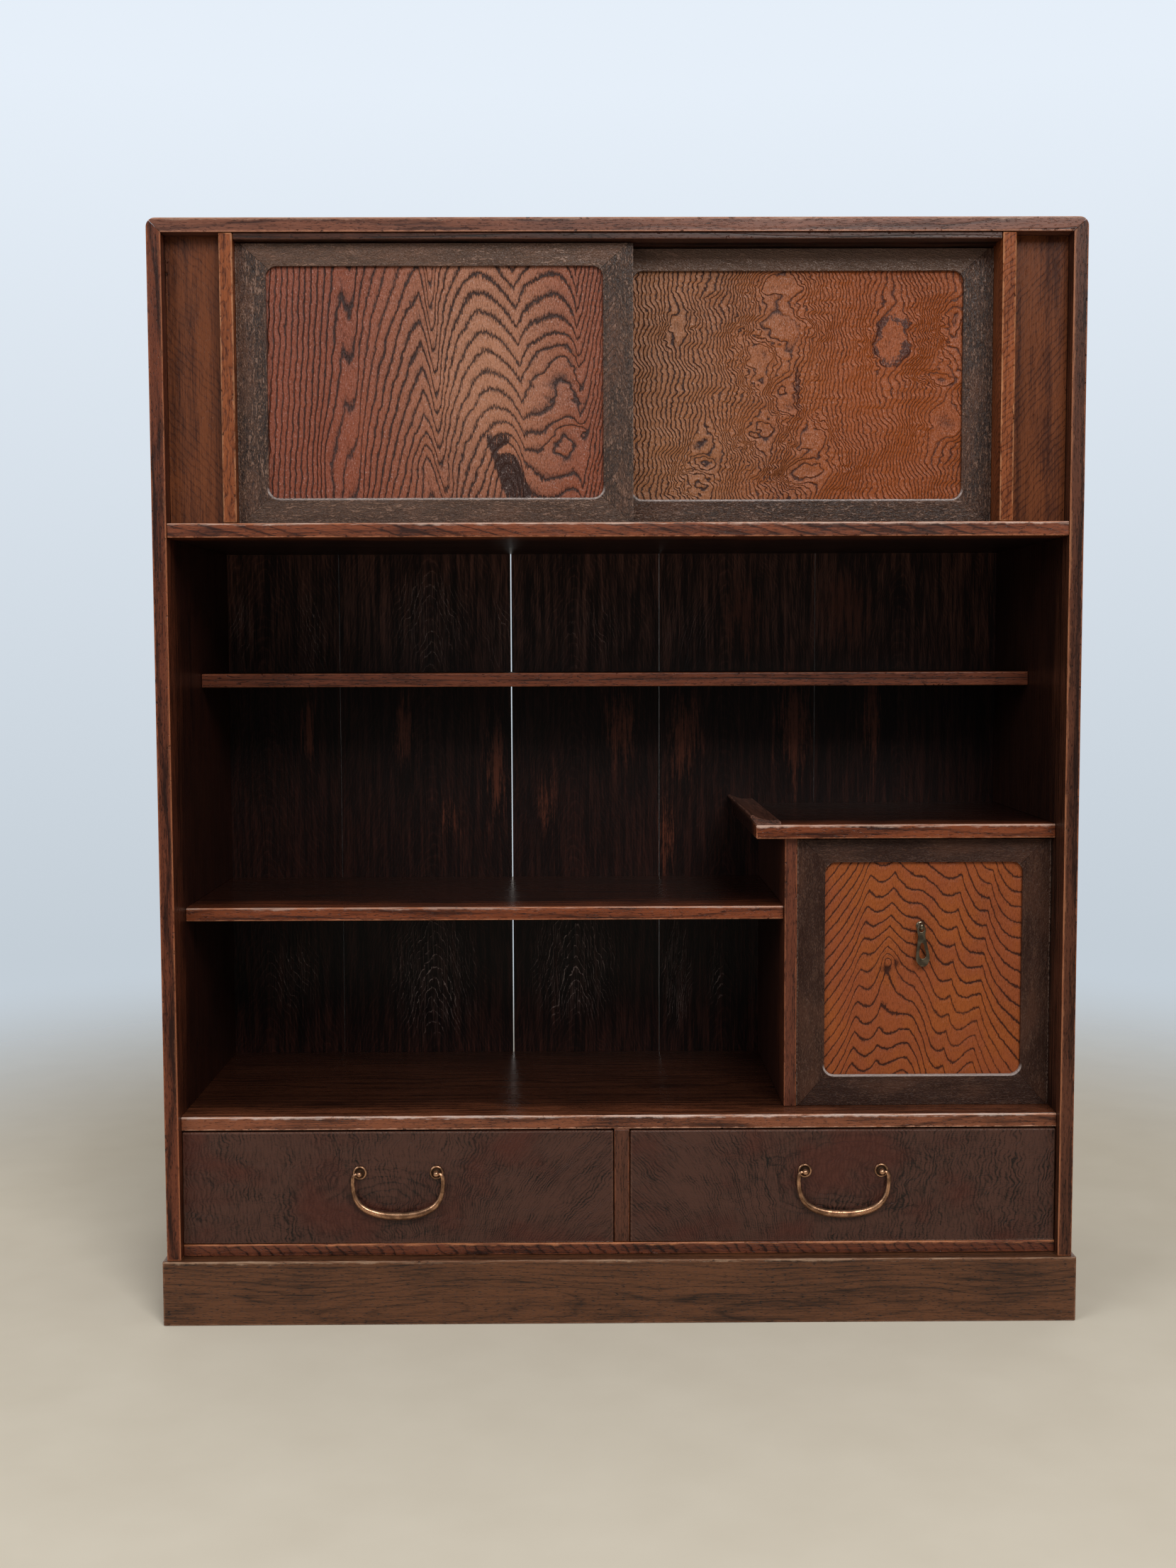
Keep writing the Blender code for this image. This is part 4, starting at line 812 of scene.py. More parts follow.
# %% Right door panel
RIGHT_PANEL_LIGHT = (paint(142, 90, 55), paint(142, 69, 21))
RIGHT_PANEL_DARK = (paint(50, 24, 15), paint(64, 24, 8))
RIGHT_PANEL_SPACING = 4.6
RIGHT_PANEL_EYES = [
    ((262, 73), (15, 24), 0.6), ((324, 55), (10, 19), 2.4), ((155, 121), (9, 9), 1.7),
    ((133, 112), (8, 6), 0.9), ((158, 143), (8, 10), 0.9), ((150, 18), (15, 9), 0.9),
    ((313, 108), (15, 6), 1.7), ((134, 160), (13, 13), 2.4), ((73, 170), (9, 6), 0.9),
    ((76, 192), (15, 10), 2.4), ((72, 213), (12, 7), -1.3), ((180, 198), (20, 12), 2.4),
]
RIGHT_PANEL_CALM = [
    ((150, 66), (20, 22), 0.5), ((134, 88), (10, 9), 0.5), ((178, 166), (13, 8), 0.5),
    ((50, 58), (8, 12), 0.5), ((318, 152), (16, 16), 0.5),
]


def right_door_panel():
    node = "right_door_panel"
    finish = Finish(node)
    across, down, _ = spot = panel_place(finish, node)
    swing = finish.noise(spot, (70, 42, 60), 33.0) - 0.5
    ripple = finish.noise(spot, (40, 6, 20), 39.0, detail=1) - 0.5
    knots = finish.noise(spot, (15, 13, 20), 41.0) - 0.5
    teeth = finish.noise(spot, (1.0, 5, 9), 43.0) - 0.5
    calm = bulge(across, down, (150, 130), (42, 90))
    slope = finish.rise(across, 190, 330) * finish.rise(down, 100, 190)
    wavy = across + swing * 44 + ripple * 5.5 + teeth * 1.6 + slope * 15
    count = wavy / RIGHT_PANEL_SPACING + knots * (calm * 3.6 + 1.0) + 30
    bent_across, bent_down = across + knots * 24 + ripple * 4, down + swing * 20 - knots * 18
    for centre, radii, rings in RIGHT_PANEL_CALM + RIGHT_PANEL_EYES:
        level = centre[0] / RIGHT_PANEL_SPACING + 30.3
        count = eye(bent_across, bent_down, count, centre, radii, rings, level)
    (x, z), (wide, tall), rings = RIGHT_PANEL_EYES[0]
    dx, dz = (bent_across - x) / wide, (bent_down - z) / tall
    oval = abs((dx * dx + dz * dz).root() - 0.98)
    thick = finish.rise(dz - dx * 0.8, -1.0, 1.2) * 0.16 + 0.16
    ring = finish.rise(oval / thick, 1.0, 0.55) * finish.rise(teeth + ripple, -0.3, -0.02)
    beside = abs(across - 166 - down * 0.03 + knots * 6)
    streak = finish.rise(beside, 3.2, 1.4) * bulge(across, down, (167, 118), (20, 22))
    stain = ring * 0.75 + streak * 0.6
    drift = finish.rise(across + swing * 60, 20, 250)
    light = finish.blend(drift, *RIGHT_PANEL_LIGHT)
    dark = finish.blend(drift, *RIGHT_PANEL_DARK)
    return figured(finish, spot, count, light, dark, stain, seed=33.0, contrast=1.4 - drift * 0.55)


dress("right_door_panel", right_door_panel())
print("right panel eyes", len(RIGHT_PANEL_CALM + RIGHT_PANEL_EYES))

# %% [markdown]
# The small door's panel has bold thin lines that step across it like hills, over one tall hill with a knot at
# its top. One line was read off across the panel, and the others follow it, nearer or further apart.

# %% Small door panel
SMALL_PANEL_LIGHT = (paint(140, 72, 30), paint(134, 67, 34))
SMALL_PANEL_DARK = paint(54, 22, 9)
SMALL_PANEL_LEVELS = [
    (0, 108), (11, 92), (21, 78), (32, 59), (39, 43), (45.5, 23), (48, 19, True), (60, 25.5), (67, 22.5),
    (72.5, 16, True), (81.5, 26.5), (89.5, 32), (104, 34.5, True), (116, 45), (132, 57.5), (141.5, 54, True),
    (145.5, 65), (153.5, 77.5), (161.5, 84), (172.5, 85, True), (177.5, 97.5), (188, 116), (198, 127),
    (215, 137),
]
SMALL_PANEL_STEPS = [(0, 15.2), (47, 16.2), (72, 16.2), (104, 14.4), (141, 18), (172, 14.2), (215, 17.4)]


def small_door_panel():
    """Levels give the height of one ring across the panel, and steps how far below it the next one runs."""
    node = "small_door_panel"
    finish = Finish(node)
    across, down, _ = spot = panel_place(finish, node)
    drift = finish.noise(spot, (50, 60, 60), 53.0) - 0.5
    sway = finish.noise(spot, (9, 9, 9), 57.0, detail=3, harsh=0.6) - 0.5
    teeth = finish.noise(spot, (1.3, 3, 9), 59.0) - 0.5
    leaning = across + (down - 58) * 0.09 + drift * 4
    level = profile(finish, leaning, SMALL_PANEL_LEVELS, 215, 0, 160)
    step = profile(finish, leaning, SMALL_PANEL_STEPS, 215, 0, 30)
    count = (down - level + sway * 5 + teeth * 2.4) / step
    hill = bulge(across, down, (71, 114), (15, 41)) * 1.75
    knot = bulge(across, down, (71, 107), (6.5, 6.8)) * 1.2
    count = count + hill + knot + 30
    stain = bulge(across, down, (69, 115), (5, 4)) * 0.7 + bulge(across, down, (79, 109), (3, 4)) * 0.6
    blush = finish.rise(drift + sway * 0.4, -0.15, 0.15)
    light = finish.blend(blush, *SMALL_PANEL_LIGHT)
    return figured(finish, spot, count, light, SMALL_PANEL_DARK, stain, seed=53.0, stops=THIN_LINE,
                   contrast=0.95, roughness=0.42, depth=0.0004, glitter=0.1, shine=0.2)


dress("small_door_panel", small_door_panel())
print("small panel line set by", len(SMALL_PANEL_LEVELS), "places")

# %% [markdown]
# Each door has an opening with rounded corners, and a painted highlight lies along its lower edge, where the
# rounded arris catches the light from above. The distance from a rounded rectangle finds that edge: it is the
# distance to the box shrunk by the corner's radius, less that radius.

# %% The opening of a door
CORNER = 10.5


def opening_distance(finish, door):
    """How far a point is outside the rounded opening of a door's frame, in millimetres."""
    tuck = CORNER * (1 - math.sin(math.radians(45)))
    low = Vector((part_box(f"{door}_left_stile")[1].x, 0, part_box(f"{door}_foot_rail")[1].z)) * MM
    high = Vector((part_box(f"{door}_right_stile")[0].x, 0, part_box(f"{door}_top_rail")[0].z)) * MM
    middle, half = (low + high) / 2, (high - low) / 2
    beyond_x = abs(finish.x - middle.x) - (half.x + tuck - CORNER)
    beyond_z = abs(finish.z - middle.z) - (half.z + tuck - CORNER)
    outer_x, outer_z = beyond_x.most(0), beyond_z.most(0)
    return (outer_x * outer_x + outer_z * outer_z).root() + beyond_x.most(beyond_z).least(0) - CORNER, low.z


print("corner radius", CORNER, "mm")

# %% [markdown]
# The door frames are a coarser, browner wood under old lacquer that has crackled into short ridges along the
# grain. Ridges come from a stretched noise pushed through a narrow ramp, and they catch the light, so they
# are painted a little paler as well as raised.

# %% Door frames
FRAME_COLOURS = paints(dark=(44, 29, 23), light=(120, 92, 77), warm=(92, 58, 42), crack=(20, 11, 8),
                       fold=(22, 13, 9), deep=(42, 17, 9), arris=(140, 116, 104), lip=(186, 172, 168))
# Paler coats on some members: on the top rails this is painted light over the shadow of the top board and its
# track, and on the others it makes the wood paler.
FRAME_PALE_AND_LIT = {"right_door_top_rail": 0.62, "left_door_top_rail": 0.38, "left_door_foot_rail": 0.28,
               "right_door_foot_rail": 0.1, "left_door_right_stile": 0.08}
FRAME_SLANTS = {"right_door_top_rail": 0.22}
FRAME_LEVELS = {"left_door": (1.0, 1.0, 0.42), "right_door": (0.85, 1.0, 0.42), "small_door": (0.5, 0.4, 0.2)}
FRAME_MEMBERS = (("left_stile", "z"), ("right_stile", "z"), ("top_rail", "x"), ("foot_rail", "x"))


def frame_member(node, door, grain, seed, slant, curl, level, crackle, shine):
    """slant tilts the grain, curl adds dark folds across it, level is how pale the wood is, and crackle how
    broken its lacquer."""
    finish = Finish(node)
    along, across = (finish.x, finish.z) if grain == "x" else (finish.z, finish.x)
    skew = across + along * slant
    spot = along, skew, finish.y
    sway = finish.noise(spot, (60, 14, 20), seed) - 0.5
    bent = along + sway * 10, skew + sway * 12, finish.y
    ridge = finish.noise(bent, (9.0, 1.7, 3), seed + 3, detail=3, harsh=0.7)
    fine = finish.noise(spot, (2.4, 0.8, 2), seed + 5)
    cloud = finish.noise(spot, (70, 26, 40), seed + 9, detail=3)
    raised = finish.rise(ridge + (fine - 0.5) * 0.5, 0.47, 0.62)
    cracks = finish.rise(ridge + (fine - 0.5) * 0.3, 0.42, 0.34)
    tone = finish.rise(raised * 0.55 * crackle + (cloud - 0.5) * 0.8 + (fine - 0.5) * 0.7 + 0.2, 0.0, 1.0)
    finish.colour = finish.blend(tone, FRAME_COLOURS["dark"], FRAME_COLOURS["light"])
    finish.coat(finish.rise(cloud, 0.45, 0.7) * 0.5, FRAME_COLOURS["warm"])
    finish.coat(cracks * 0.7 * crackle, FRAME_COLOURS["crack"])
    if curl > 0:
        fold = abs(across + 4 + sway * 22)
        wave = ring_lines(finish, (along + fold * 0.9 + sway * 30) / 7.5 + 60, RING_LINE, 0.5)
        finish.coat(wave * curl, FRAME_COLOURS["fold"])
    if level < 1:
        finish.coat(1 - level, FRAME_COLOURS["deep"])
    # Paler coat: painted light on the top rails, paler wood on the other members listed.
    if node in FRAME_PALE_AND_LIT:
        finish.coat(FRAME_PALE_AND_LIT[node], FRAME_COLOURS["light"])
    edge = edge_nearness(finish, node, 1.8)
    finish.coat(edge * finish.rise(fine, 0.42, 0.56) * 0.5, FRAME_COLOURS["arris"])
    # Painted highlight along the lower edge of the opening, where its rounded arris catches the light from
    # above.
    away, sill = opening_distance(finish, door)
    lip = finish.rise(abs(away - 0.3), 1.9, 0.8) * finish.rise(finish.z, sill + 9, sill + 1)
    finish.coat(lip * finish.rise(cloud + fine, 0.6, 0.9) * 0.75, FRAME_COLOURS["lip"])
    height = raised * 0.8 + fine * 0.35 - cracks * 0.5
    return finish.show(0.36 - raised * 0.08, finish.bump(height, 0.0008 * crackle), shine=shine)


for door, look in FRAME_LEVELS.items():
    for index, (piece, grain) in enumerate(FRAME_MEMBERS):
        node = f"{door}_{piece}"
        seed = 70.0 + 10 * list(FRAME_LEVELS).index(door) + index
        curl = 0.85 if node == "left_door_right_stile" else 0.0
        dress(node, frame_member(node, door, grain, seed, FRAME_SLANTS.get(node, 0.0), curl, *look))
print("door frames dressed")

# %% [markdown]
# The drawer fronts are one dark board with a curly figure: short dark upright streaks crossed by level
# ripples, and round the handle the rings close into flat ovals.

# %% Drawer fronts
DRAWER_COLOURS = paints(dark=(18, 10, 7), light=(70, 43, 34), red=(80, 36, 25), arris=(122, 88, 72))
STRIPE = [(0.0, 1.0), (0.16, 0.55), (0.36, 0.0), (0.7, 0.0), (0.88, 0.5), (1.0, 1.0)]


def drawer_front(node, seed, middle, lean):
    """middle is where the ovals lie, as shares of the width and height. lean says where across the drawer the
    upright stripes begin and stop tipping over, by how much, and how far they tip before that."""
    finish = Finish(node)
    across, down, _ = spot = panel_place(finish, node)
    size = nodes[node].dimensions * MM
    dx = (across - size.x * middle[0]) / 2.1
    dz = down - size.z * middle[1]
    reach = (dx * dx + dz * dz).root()
    wobble = finish.noise(spot, (40, 26, 40), seed, detail=3) - 0.5
    rings = ring_lines(finish, (reach + wobble * 30) / 8.5 + seed, RING_LINE, 0.7)
    rings = rings * finish.rise(reach, 62, 30)
    start, stop, more, least = lean
    shear = down * (finish.rise(across, start, stop) * more + least)
    jitter = finish.noise(spot, (7, 9, 30), seed + 3, detail=3) - 0.5
    stripes = ring_lines(finish, (across + shear + wobble * 30 + jitter * 7) / 4.3 + seed, STRIPE, 0.85)
    weave = ring_lines(finish, (down + wobble * 34 + jitter * 9) / 2.9 + seed, STRIPE, 0.8)
    patches = finish.noise(spot, (30, 24, 40), seed + 5, detail=3)
    fibre = finish.noise((across + shear, down, finish.y), (2.0, 14, 20), seed + 7, detail=3, harsh=0.65)
    cloud = finish.noise(spot, (80, 60, 60), seed + 9, detail=3)
    strong = finish.rise(patches, 0.36, 0.6)
    tone = stripes * (strong * 0.55 + 0.28) + weave * (strong * 0.2 + 0.15) + rings * 0.45
    tone = tone + (fibre - 0.5) * 1.7 + (cloud - 0.5) * 1.35 + 0.24
    tone = finish.rise(tone, 0.0, 1.0)
    finish.colour = finish.blend(tone, DRAWER_COLOURS["light"], DRAWER_COLOURS["dark"])
    finish.coat(finish.rise(cloud, 0.45, 0.68) * 0.55, DRAWER_COLOURS["red"])
    edge = edge_nearness(finish, node, 2.4)
    finish.coat(edge * finish.rise(fibre, 0.35, 0.6) * 0.55, DRAWER_COLOURS["arris"])
    bumps = stripes * -0.5 + fibre * 0.7 - rings * 0.4 - weave * 0.3
    return finish.show(0.38 + (cloud - 0.5) * 0.1, finish.bump(bumps, 0.0004))


DRAWER_FRONTS = {
    "left_drawer_front": dict(seed=91.0, middle=(0.47, 0.62), lean=(190, 400, 1.0, -0.06)),
    "right_drawer_front": dict(seed=97.0, middle=(0.5, 0.42), lean=(210, 30, -1.0, 0.08)),
}
for node, recipe in DRAWER_FRONTS.items():
    dress(node, drawer_front(node, **recipe))
print("drawer fronts dressed", len(DRAWER_FRONTS))

# %% [markdown]
# The two posts and the two fixed panels beside the doors are paler. The posts have short level ripples, and
# the panels a fine slanting one.

# %% Posts and fixed panels
UPRIGHTS = {
    "left_post": dict(colours=POST_COLOURS, spacing=6, heart=(12, 20), contrast=0.4, seed=101.0, wear=0.5,
                      waves=4, curl=2.2, shine=0.2),
    "right_post": dict(colours=POST_COLOURS, spacing=6, heart=(-14, 22), contrast=0.5, seed=104.0, wear=0.5,
                       waves=4, curl=1.4, taper=0.9, shine=0.1),
    "left_fixed_panel": dict(colours=FIXED_COLOURS, spacing=22, heart=(20, 50), contrast=0.25, seed=107.0,
                             wear=0.1, waves=8, curl=0.6, bars=(9, 1.1, 0.34), pitted=0.1, patchy=1.0,
                             shine=0.2),
    "right_fixed_panel": dict(colours=FIXED_COLOURS, spacing=20, heart=(-30, 40), contrast=0.3, seed=110.0,
                              wear=0.1, waves=8, curl=0.6, bars=(8, -1.2, 0.55), pitted=0.12, patchy=0.8,
                              shine=0.1),
}
for node, recipe in UPRIGHTS.items():
    dress(node, board(node, grain="z", **recipe))
dress("brush_stop", board("brush_stop", "y", STOP_COLOURS, spacing=5, heart=(10, 30), contrast=0.4,
                          seed=113.0, wear=0.35))
print("uprights dressed", len(UPRIGHTS))

# %% [markdown]
# A joiner takes a shaving off every sharp edge of a planed board, and that thin flat is what catches the
# light. The faces of a solid from CAD don't share their corner points, so a Weld joins them before the Bevel
# works. Door frames are left as they are, because their members are planed level with each other after they
# are joined.

# %% Planed edges
PLANED = [node for node in BOARDS if node != "upper_track"]
PLANED += [f"{side}_{piece}" for side in ("left", "right") for piece in ("post", "drawer_front")]
SHAVING = 0.6
MERGE = 0.01
SHARP_EDGE = 40


def plane_edges(node):
    weld = nodes[node].modifiers.new("joined", "WELD")
    weld.merge_threshold = MERGE / MM
    bevel = nodes[node].modifiers.new("planed", "BEVEL")
    bevel.width = SHAVING / MM
    bevel.segments = 2
    bevel.limit_method = "ANGLE"
    bevel.angle_limit = math.radians(SHARP_EDGE)


for node in PLANED:
    plane_edges(node)
print("boards with planed edges", len(PLANED))

# %% [markdown]
# Each drawer handle hangs from two turned posts. A post is one turning: a rivet behind the board, a stem
# through it, a rosette with a raised rim round a dish that the bronze darkens with painted shade, then a thin
# neck and a ball. It grows from the rivet forwards, the end face pushed out and scaled once for each ring of
# the turning.

# %% A turned piece
FACETS = 36


def alone():
    bpy.ops.object.select_all(action="DESELECT")


def closed(piece, degrees=SHARP_EDGE):
    """Merge what lies in one place, turn the faces outwards and shade all but the sharp edges softly."""
    bpy.ops.object.mode_set(mode="EDIT")
    bpy.ops.mesh.select_all(action="SELECT")
    bpy.ops.mesh.remove_doubles(threshold=MERGE / MM)
    bpy.ops.mesh.normals_make_consistent(inside=False)
    bpy.ops.object.mode_set(mode="OBJECT")
    bpy.ops.object.shade_smooth_by_angle(angle=math.radians(degrees))
    return piece


def turned(name, foot, rings):
    """rings are (radius, distance in front of the foot), in millimetres, from the back forwards."""
    alone()
    radius, ahead = rings[0]
    start = foot + Vector((0, -ahead / MM, 0))
    bpy.ops.mesh.primitive_circle_add(vertices=FACETS, radius=radius / MM, fill_type="NGON", location=start,
                                      rotation=(math.pi / 2, 0, 0))
    piece = bpy.context.object
    piece.name = name
    bpy.ops.object.transform_apply(location=True, rotation=True, scale=True)
    bpy.ops.object.mode_set(mode="EDIT")
    bpy.ops.mesh.select_all(action="SELECT")
    for wider, further in rings[1:]:
        bpy.ops.mesh.extrude_region_move(TRANSFORM_OT_translate={"value": (0, (ahead - further) / MM, 0)})
        share = wider / radius
        middle = foot + Vector((0, -further / MM, 0))
        bpy.ops.transform.resize(value=(share, 1, share), center_override=middle)
        radius, ahead = wider, further
    return closed(piece)


print("turning ready")

# %% [markdown]
# The turning's profile was read off the picture: the rosette is 14 mm across and the ball 6 mm. All four
# posts are alike, so one is turned, and the other three are copies of it.

# %% Handle posts
BALL_AHEAD = 6.5
BALL_RADIUS = 3.1
ROSETTE = [
    (2.7, -19.3), (3.2, -18.9), (3.2, -18.3), (1.8, -18.3), (1.8, 0.3), (6.7, 0.3), (7.1, 0.7), (7.05, 1.2),
    (6.8, 1.6), (6.4, 1.95), (5.8, 2.1), (5.2, 1.85), (4.85, 1.3), (4.7, 0.8), (2.9, 0.7), (2.2, 1.1),
    (1.8, 1.7), (1.65, 2.5), (1.75, 3.4),
]
BALL = [(BALL_RADIUS * math.sin(math.radians(turn)), BALL_AHEAD - BALL_RADIUS * math.cos(math.radians(turn)))
        for turn in (40, 57, 74, 90, 106, 122, 138, 152, 165)]


def copied(piece, name, move):
    """Another of the same piece with its own mesh, moved inside that mesh."""
    other = piece.copy()
    other.data = piece.data.copy()
    other.data.transform(Matrix.Translation(move))
    other.name = name
    bpy.context.scene.collection.objects.link(other)
    return other


def post_foot(side, end):
    low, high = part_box(f"{side}_drawer_{end}_handle_post")
    return Vector(((low.x + high.x) / 2, low.y + (BALL_AHEAD + BALL_RADIUS) / MM, (low.z + high.z) / 2))


first_foot = post_foot("left", "left")
first_post = turned("left_drawer_left_handle_post_turning", first_foot, ROSETTE + BALL)
posts = [first_post]
for side, end in (("left", "right"), ("right", "left"), ("right", "right")):
    name = f"{side}_drawer_{end}_handle_post_turning"
    posts.append(copied(first_post, name, post_foot(side, end) - first_foot))
for post in posts:
    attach(post, post.name.split("_drawer")[0] + "_drawer")
    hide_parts(post.name.removesuffix("_turning"))
print("posts", [len(post.data.polygons) for post in posts])

# %% [markdown]
# The bails and the door's pull start as curves: a closed curve drawn through a list of places is a section or
# an outline, and once it is swept or thickened the whole is turned into a mesh.

# %% Closed curves
def closed_curve(name, splines, smooth=True):
    """A curve object of closed loops, each a list of places in millimetres."""
    alone()
    bpy.ops.curve.primitive_bezier_circle_add(radius=1)
    drawn = bpy.context.object
    drawn.name = name
    drawn.data.splines.remove(drawn.data.splines[0])
    for places in splines:
        spline = drawn.data.splines.new("BEZIER")
        spline.bezier_points.add(len(places) - 1)
        for point, place in zip(spline.bezier_points, places):
            point.co = (place[0] / MM, place[1] / MM, 0)
            point.handle_left_type = point.handle_right_type = "AUTO" if smooth else "VECTOR"
        spline.use_cyclic_u = True
    return drawn


def as_mesh(drawn, name):
    alone()
    drawn.select_set(True)
    bpy.context.view_layer.objects.active = drawn
    bpy.ops.object.convert(target="MESH")
    made = bpy.context.object
    made.name = name
    return made


print("curves ready")

# %% [markdown]
# A bail is a bent bar, thin at its arms and thick at the grip, where the fingers go. Its section has a broad
# facet that leans back to catch the light from above, then a fine groove, then a rounded lower edge. A curve
# carries that section from point to point, larger or smaller by each point's radius. The second bail is a
# copy of the first.

# %% Bails
BAIL_SECTION = [
    (0.62, -0.2), (0.55, -0.1), (0.66, 0.0), (0.5, 0.36), (0.26, 0.7), (0.02, 0.86), (-0.3, 0.8),
    (-0.58, 0.45), (-0.66, 0.0), (-0.55, -0.5), (-0.2, -0.82), (0.15, -0.86), (0.42, -0.68), (0.6, -0.42),
]
BAIL_HALF = [
    (40.9, 0.0, 1.1), (42.6, 0.1, 1.7), (44.6, 2.0, 2.1), (45.3, 6.4, 2.2), (45.1, 13.6, 2.3),
    (43.8, 21.0, 2.6), (40.8, 28.2, 3.05), (34.9, 34.7, 3.6), (25.0, 39.6, 4.1), (13.0, 42.3, 4.4),
]
BAIL_PATH = BAIL_HALF + [(0.0, 43.1, 4.5)] + [(-x, z, r) for x, z, r in reversed(BAIL_HALF)]
BAIL_SHARP = 32


def bail_pivot(side):
    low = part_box(f"{side}_drawer_left_handle_post")[0]
    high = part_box(f"{side}_drawer_right_handle_post")[1]
    return Vector(((low.x + high.x) / 2, low.y + BALL_RADIUS / MM, (low.z + high.z) / 2))


def bail(name, pivot):
    section = closed_curve("bail_section", [[(x * MM, y * MM) for x, y in BAIL_SECTION]], False)
    alone()
    bpy.ops.curve.primitive_bezier_curve_add(location=(0, 0, 0))
    bar = bpy.context.object
    points = bar.data.splines[0].bezier_points
    points.add(len(BAIL_PATH) - 2)
    for point, (across, down, radius) in zip(points, BAIL_PATH):
        point.co = pivot + Vector((across, 0, -down)) / MM
        point.handle_left_type = point.handle_right_type = "AUTO"
        point.radius = radius / MM
    bar.data.dimensions = "3D"
    bar.data.resolution_u = 8
    bar.data.bevel_mode = "OBJECT"
    bar.data.bevel_object = section
    bar.data.use_fill_caps = True
    made = as_mesh(bar, name)
    bpy.data.objects.remove(section)
    return closed(made, BAIL_SHARP)


first_pivot = bail_pivot("left")
first_bail = bail("left_drawer_bail_bar", first_pivot)
bails = [first_bail, copied(first_bail, "right_drawer_bail_bar", bail_pivot("right") - first_pivot)]
for side, made in zip(("left", "right"), bails):
    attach(made, f"{side}_bail")
    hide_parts(f"{side}_drawer_bail")
print("bails", [[round(v, 4) for v in made.dimensions] for made in bails])

# %% [markdown]
# The small door's pull hangs from an eye: a small turned boss with a ring standing on it. The ring is a torus
# whose front is widened in edit mode, since the real one was peened over there.

# %% Eye of the pull
EYE_AHEAD = 6.4
EYE_RADIUS = 3.2
EYE_WIRE = 1.1
EYE_SPREAD = 1.5
EYE_RINGS = [
    (2.7, -7.3), (3.2, -6.9), (3.2, -6.3), (1.4, -6.3), (1.4, 0.3), (4.3, 0.3), (4.6, 0.55), (4.4, 0.95),
    (3.8, 1.35), (2.9, 1.6), (1.9, 1.7), (1.45, 2.1), (1.25, 3.3),
]


def pull_eye():
    node = "small_door_pull_eye"
    low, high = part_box(node)
    centre = Vector(((low.x + high.x) / 2, low.y + (EYE_RADIUS + EYE_WIRE) / MM, (low.z + high.z) / 2))
    stem = turned(f"{node}_cast", centre + Vector((0, EYE_AHEAD / MM, 0)), EYE_RINGS)
    alone()
    bpy.ops.mesh.primitive_torus_add(major_radius=EYE_RADIUS / MM, minor_radius=EYE_WIRE / MM,
                                     major_segments=32, minor_segments=14, location=centre,
                                     rotation=(0, math.pi / 2, 0))
    ring = bpy.context.object
    bpy.ops.object.transform_apply(location=True, rotation=True, scale=True)
    front_edge = centre.y - EYE_RADIUS / MM * 0.5
    for vertex in ring.data.vertices:
        vertex.select = vertex.co.y < front_edge
    bpy.ops.object.mode_set(mode="EDIT")
    bpy.ops.mesh.select_mode(type="VERT")
    bpy.ops.transform.resize(value=(EYE_SPREAD, 1, 1), center_override=centre)
    bpy.ops.object.mode_set(mode="OBJECT")
    stem.select_set(True)
    bpy.context.view_layer.objects.active = stem
    bpy.ops.object.join()
    bpy.ops.object.shade_smooth_by_angle(angle=math.radians(SHARP_EDGE))
    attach(stem, "small_door")
    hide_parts(node)
    return stem, centre


eye_piece, eye_centre = pull_eye()
print("eye", [round(v * MM, 1) for v in eye_piece.dimensions])

# %% [markdown]
# The pull itself is a cast teardrop. It starts as a flat outline with a round hole and a teardrop slot. The
# outline is given thickness and rounded edges, made a mesh, and stood up. It is drawn hanging straight, then
# turned three degrees, as the real one rests.

# %% Door pull
DROP_RIGHT = [
    (0.0, 4.7), (3.3, 3.2), (4.5, 0.0), (4.1, -3.6), (3.7, -7.2), (4.3, -10.4), (5.0, -15.0), (6.1, -21.0),
    (6.9, -27.0), (6.9, -31.0), (5.3, -34.9), (2.9, -37.6), (0.0, -38.3),
]
DROP_HOLE = [(0.3, 2.2), (2.4, 0.0), (1.7, -1.9), (0.0, -2.5), (-1.7, -1.9), (-2.2, 0.0)]
DROP_SLOT = [
    (0.0, -13.6), (1.5, -15.2), (2.5, -20.0), (3.4, -26.0), (2.5, -29.0), (0.0, -30.0), (-2.5, -29.0),
    (-3.4, -26.0), (-2.5, -20.0), (-1.5, -15.2),
]
DROP_TILT = 3.3
DROP_FLAT = 0.5
DROP_ROUND = 0.5


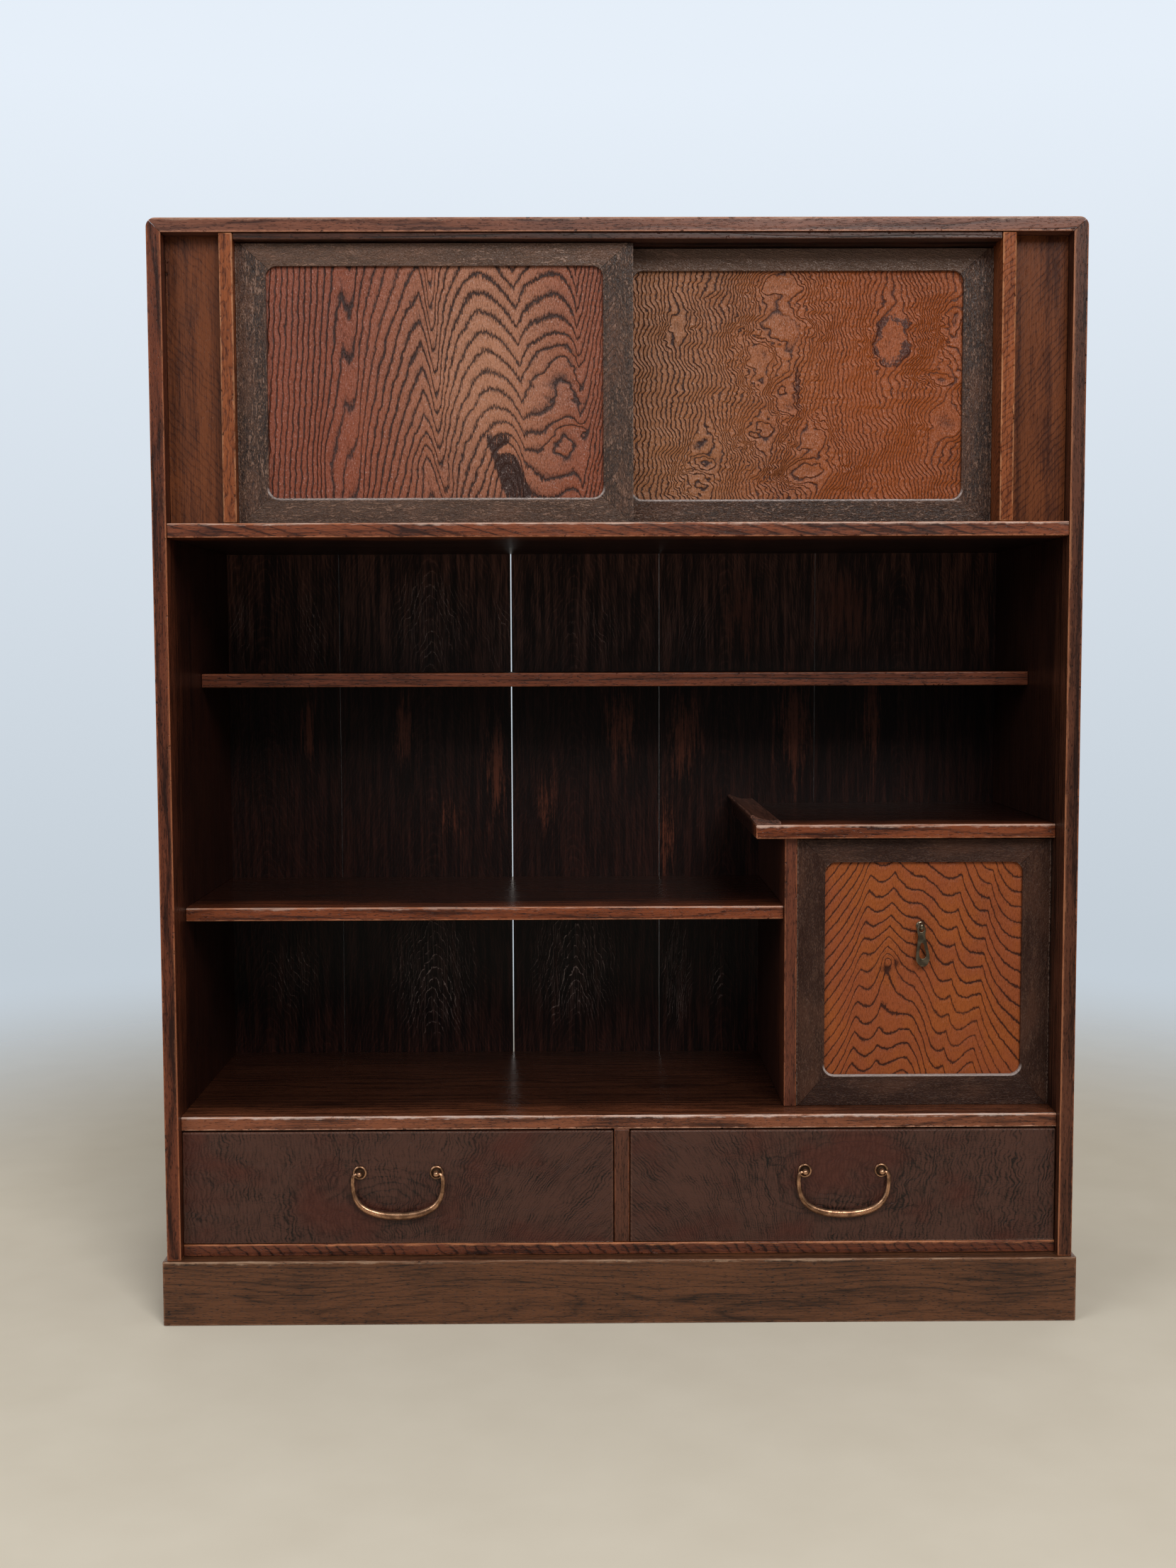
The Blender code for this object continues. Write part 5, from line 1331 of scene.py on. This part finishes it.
def pull_drop(centre):
    node = "small_door_pull_drop"
    outer = DROP_RIGHT + [(-x, z) for x, z in reversed(DROP_RIGHT[1:-1])]
    drawn = closed_curve(node, [outer, DROP_HOLE, DROP_SLOT])
    drawn.data.dimensions = "2D"
    drawn.data.fill_mode = "BOTH"
    drawn.data.extrude = DROP_FLAT / MM
    drawn.data.bevel_depth = DROP_ROUND / MM
    drawn.data.bevel_resolution = 3
    drawn.data.offset = -DROP_ROUND / MM
    made = as_mesh(drawn, f"{node}_cast")
    made.rotation_euler = (math.pi / 2, math.radians(-DROP_TILT), 0)
    made.location = centre + Vector((0, 0, -EYE_RADIUS / MM))
    bpy.ops.object.transform_apply(location=True, rotation=True, scale=True)
    closed(made)
    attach(made, "small_door_pull")
    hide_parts(node)
    return made


drop = pull_drop(eye_centre)
print("pull drop", [round(v * MM, 1) for v in drop.dimensions])

# %% [markdown]
# The fittings are cast bronze, brown where it is left alone and bright where fingers rub it. Metal reads by
# its highlights, so the colour changes little and the roughness much.

# %% Bronze
HANDLE_COLOURS = paints(bright=(206, 160, 126), dull=(138, 103, 79), grime=(34, 22, 15))
PULL_COLOURS = paints(bright=(128, 116, 98), dull=(84, 74, 62), grime=(60, 66, 54))
METALLIC = 0.95
METAL_SHINE = 0.5


def bronze(name, colours, seed, centres=()):
    """centres are the middles of dished rosettes, whose dishes are darkened with painted shade."""
    finish = Finish(name)
    patch = finish.even_noise(9, seed, detail=3)
    pits = finish.even_noise(0.9, seed + 5)
    finish.colour = finish.blend(finish.rise(patch, 0.38, 0.62), colours["dull"], colours["bright"])
    dirt_and_dish_shade = finish.rise(pits, 0.56, 0.72) * 0.5
    # Painted shade in the dish of each rosette, inside its raised rim.
    for centre in centres:
        dx, dz = finish.x - centre.x * MM, finish.z - centre.z * MM
        ring = (dx * dx + dz * dz).root()
        dish = finish.rise(ring, 5.4, 4.8) * finish.rise(finish.y, centre.y * MM - 2.2, centre.y * MM - 1.6)
        dirt_and_dish_shade = dirt_and_dish_shade.most(dish * 0.92)
    finish.coat(dirt_and_dish_shade, colours["grime"])
    rough = 0.36 - finish.rise(patch, 0.35, 0.7) * 0.08 + dirt_and_dish_shade * 0.35
    return finish.show(rough, finish.bump(pits * 0.3, 0.0002), METALLIC, METAL_SHINE)


rosettes = [sum(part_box(f"{side}_drawer_{end}_handle_post"), Vector()) / 2 for side in ("left", "right")
            for end in ("left", "right")]
for rosette in rosettes:
    rosette.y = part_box("left_drawer_front")[0].y
handle_bronze = bronze("handle_bronze", HANDLE_COLOURS, 3.0, rosettes)
pull_bronze = bronze("pull_bronze", PULL_COLOURS, 8.0)
for piece in posts + bails:
    dress(piece, handle_bronze)
for piece in (eye_piece, drop):
    dress(piece, pull_bronze)
print("bronze dressed")
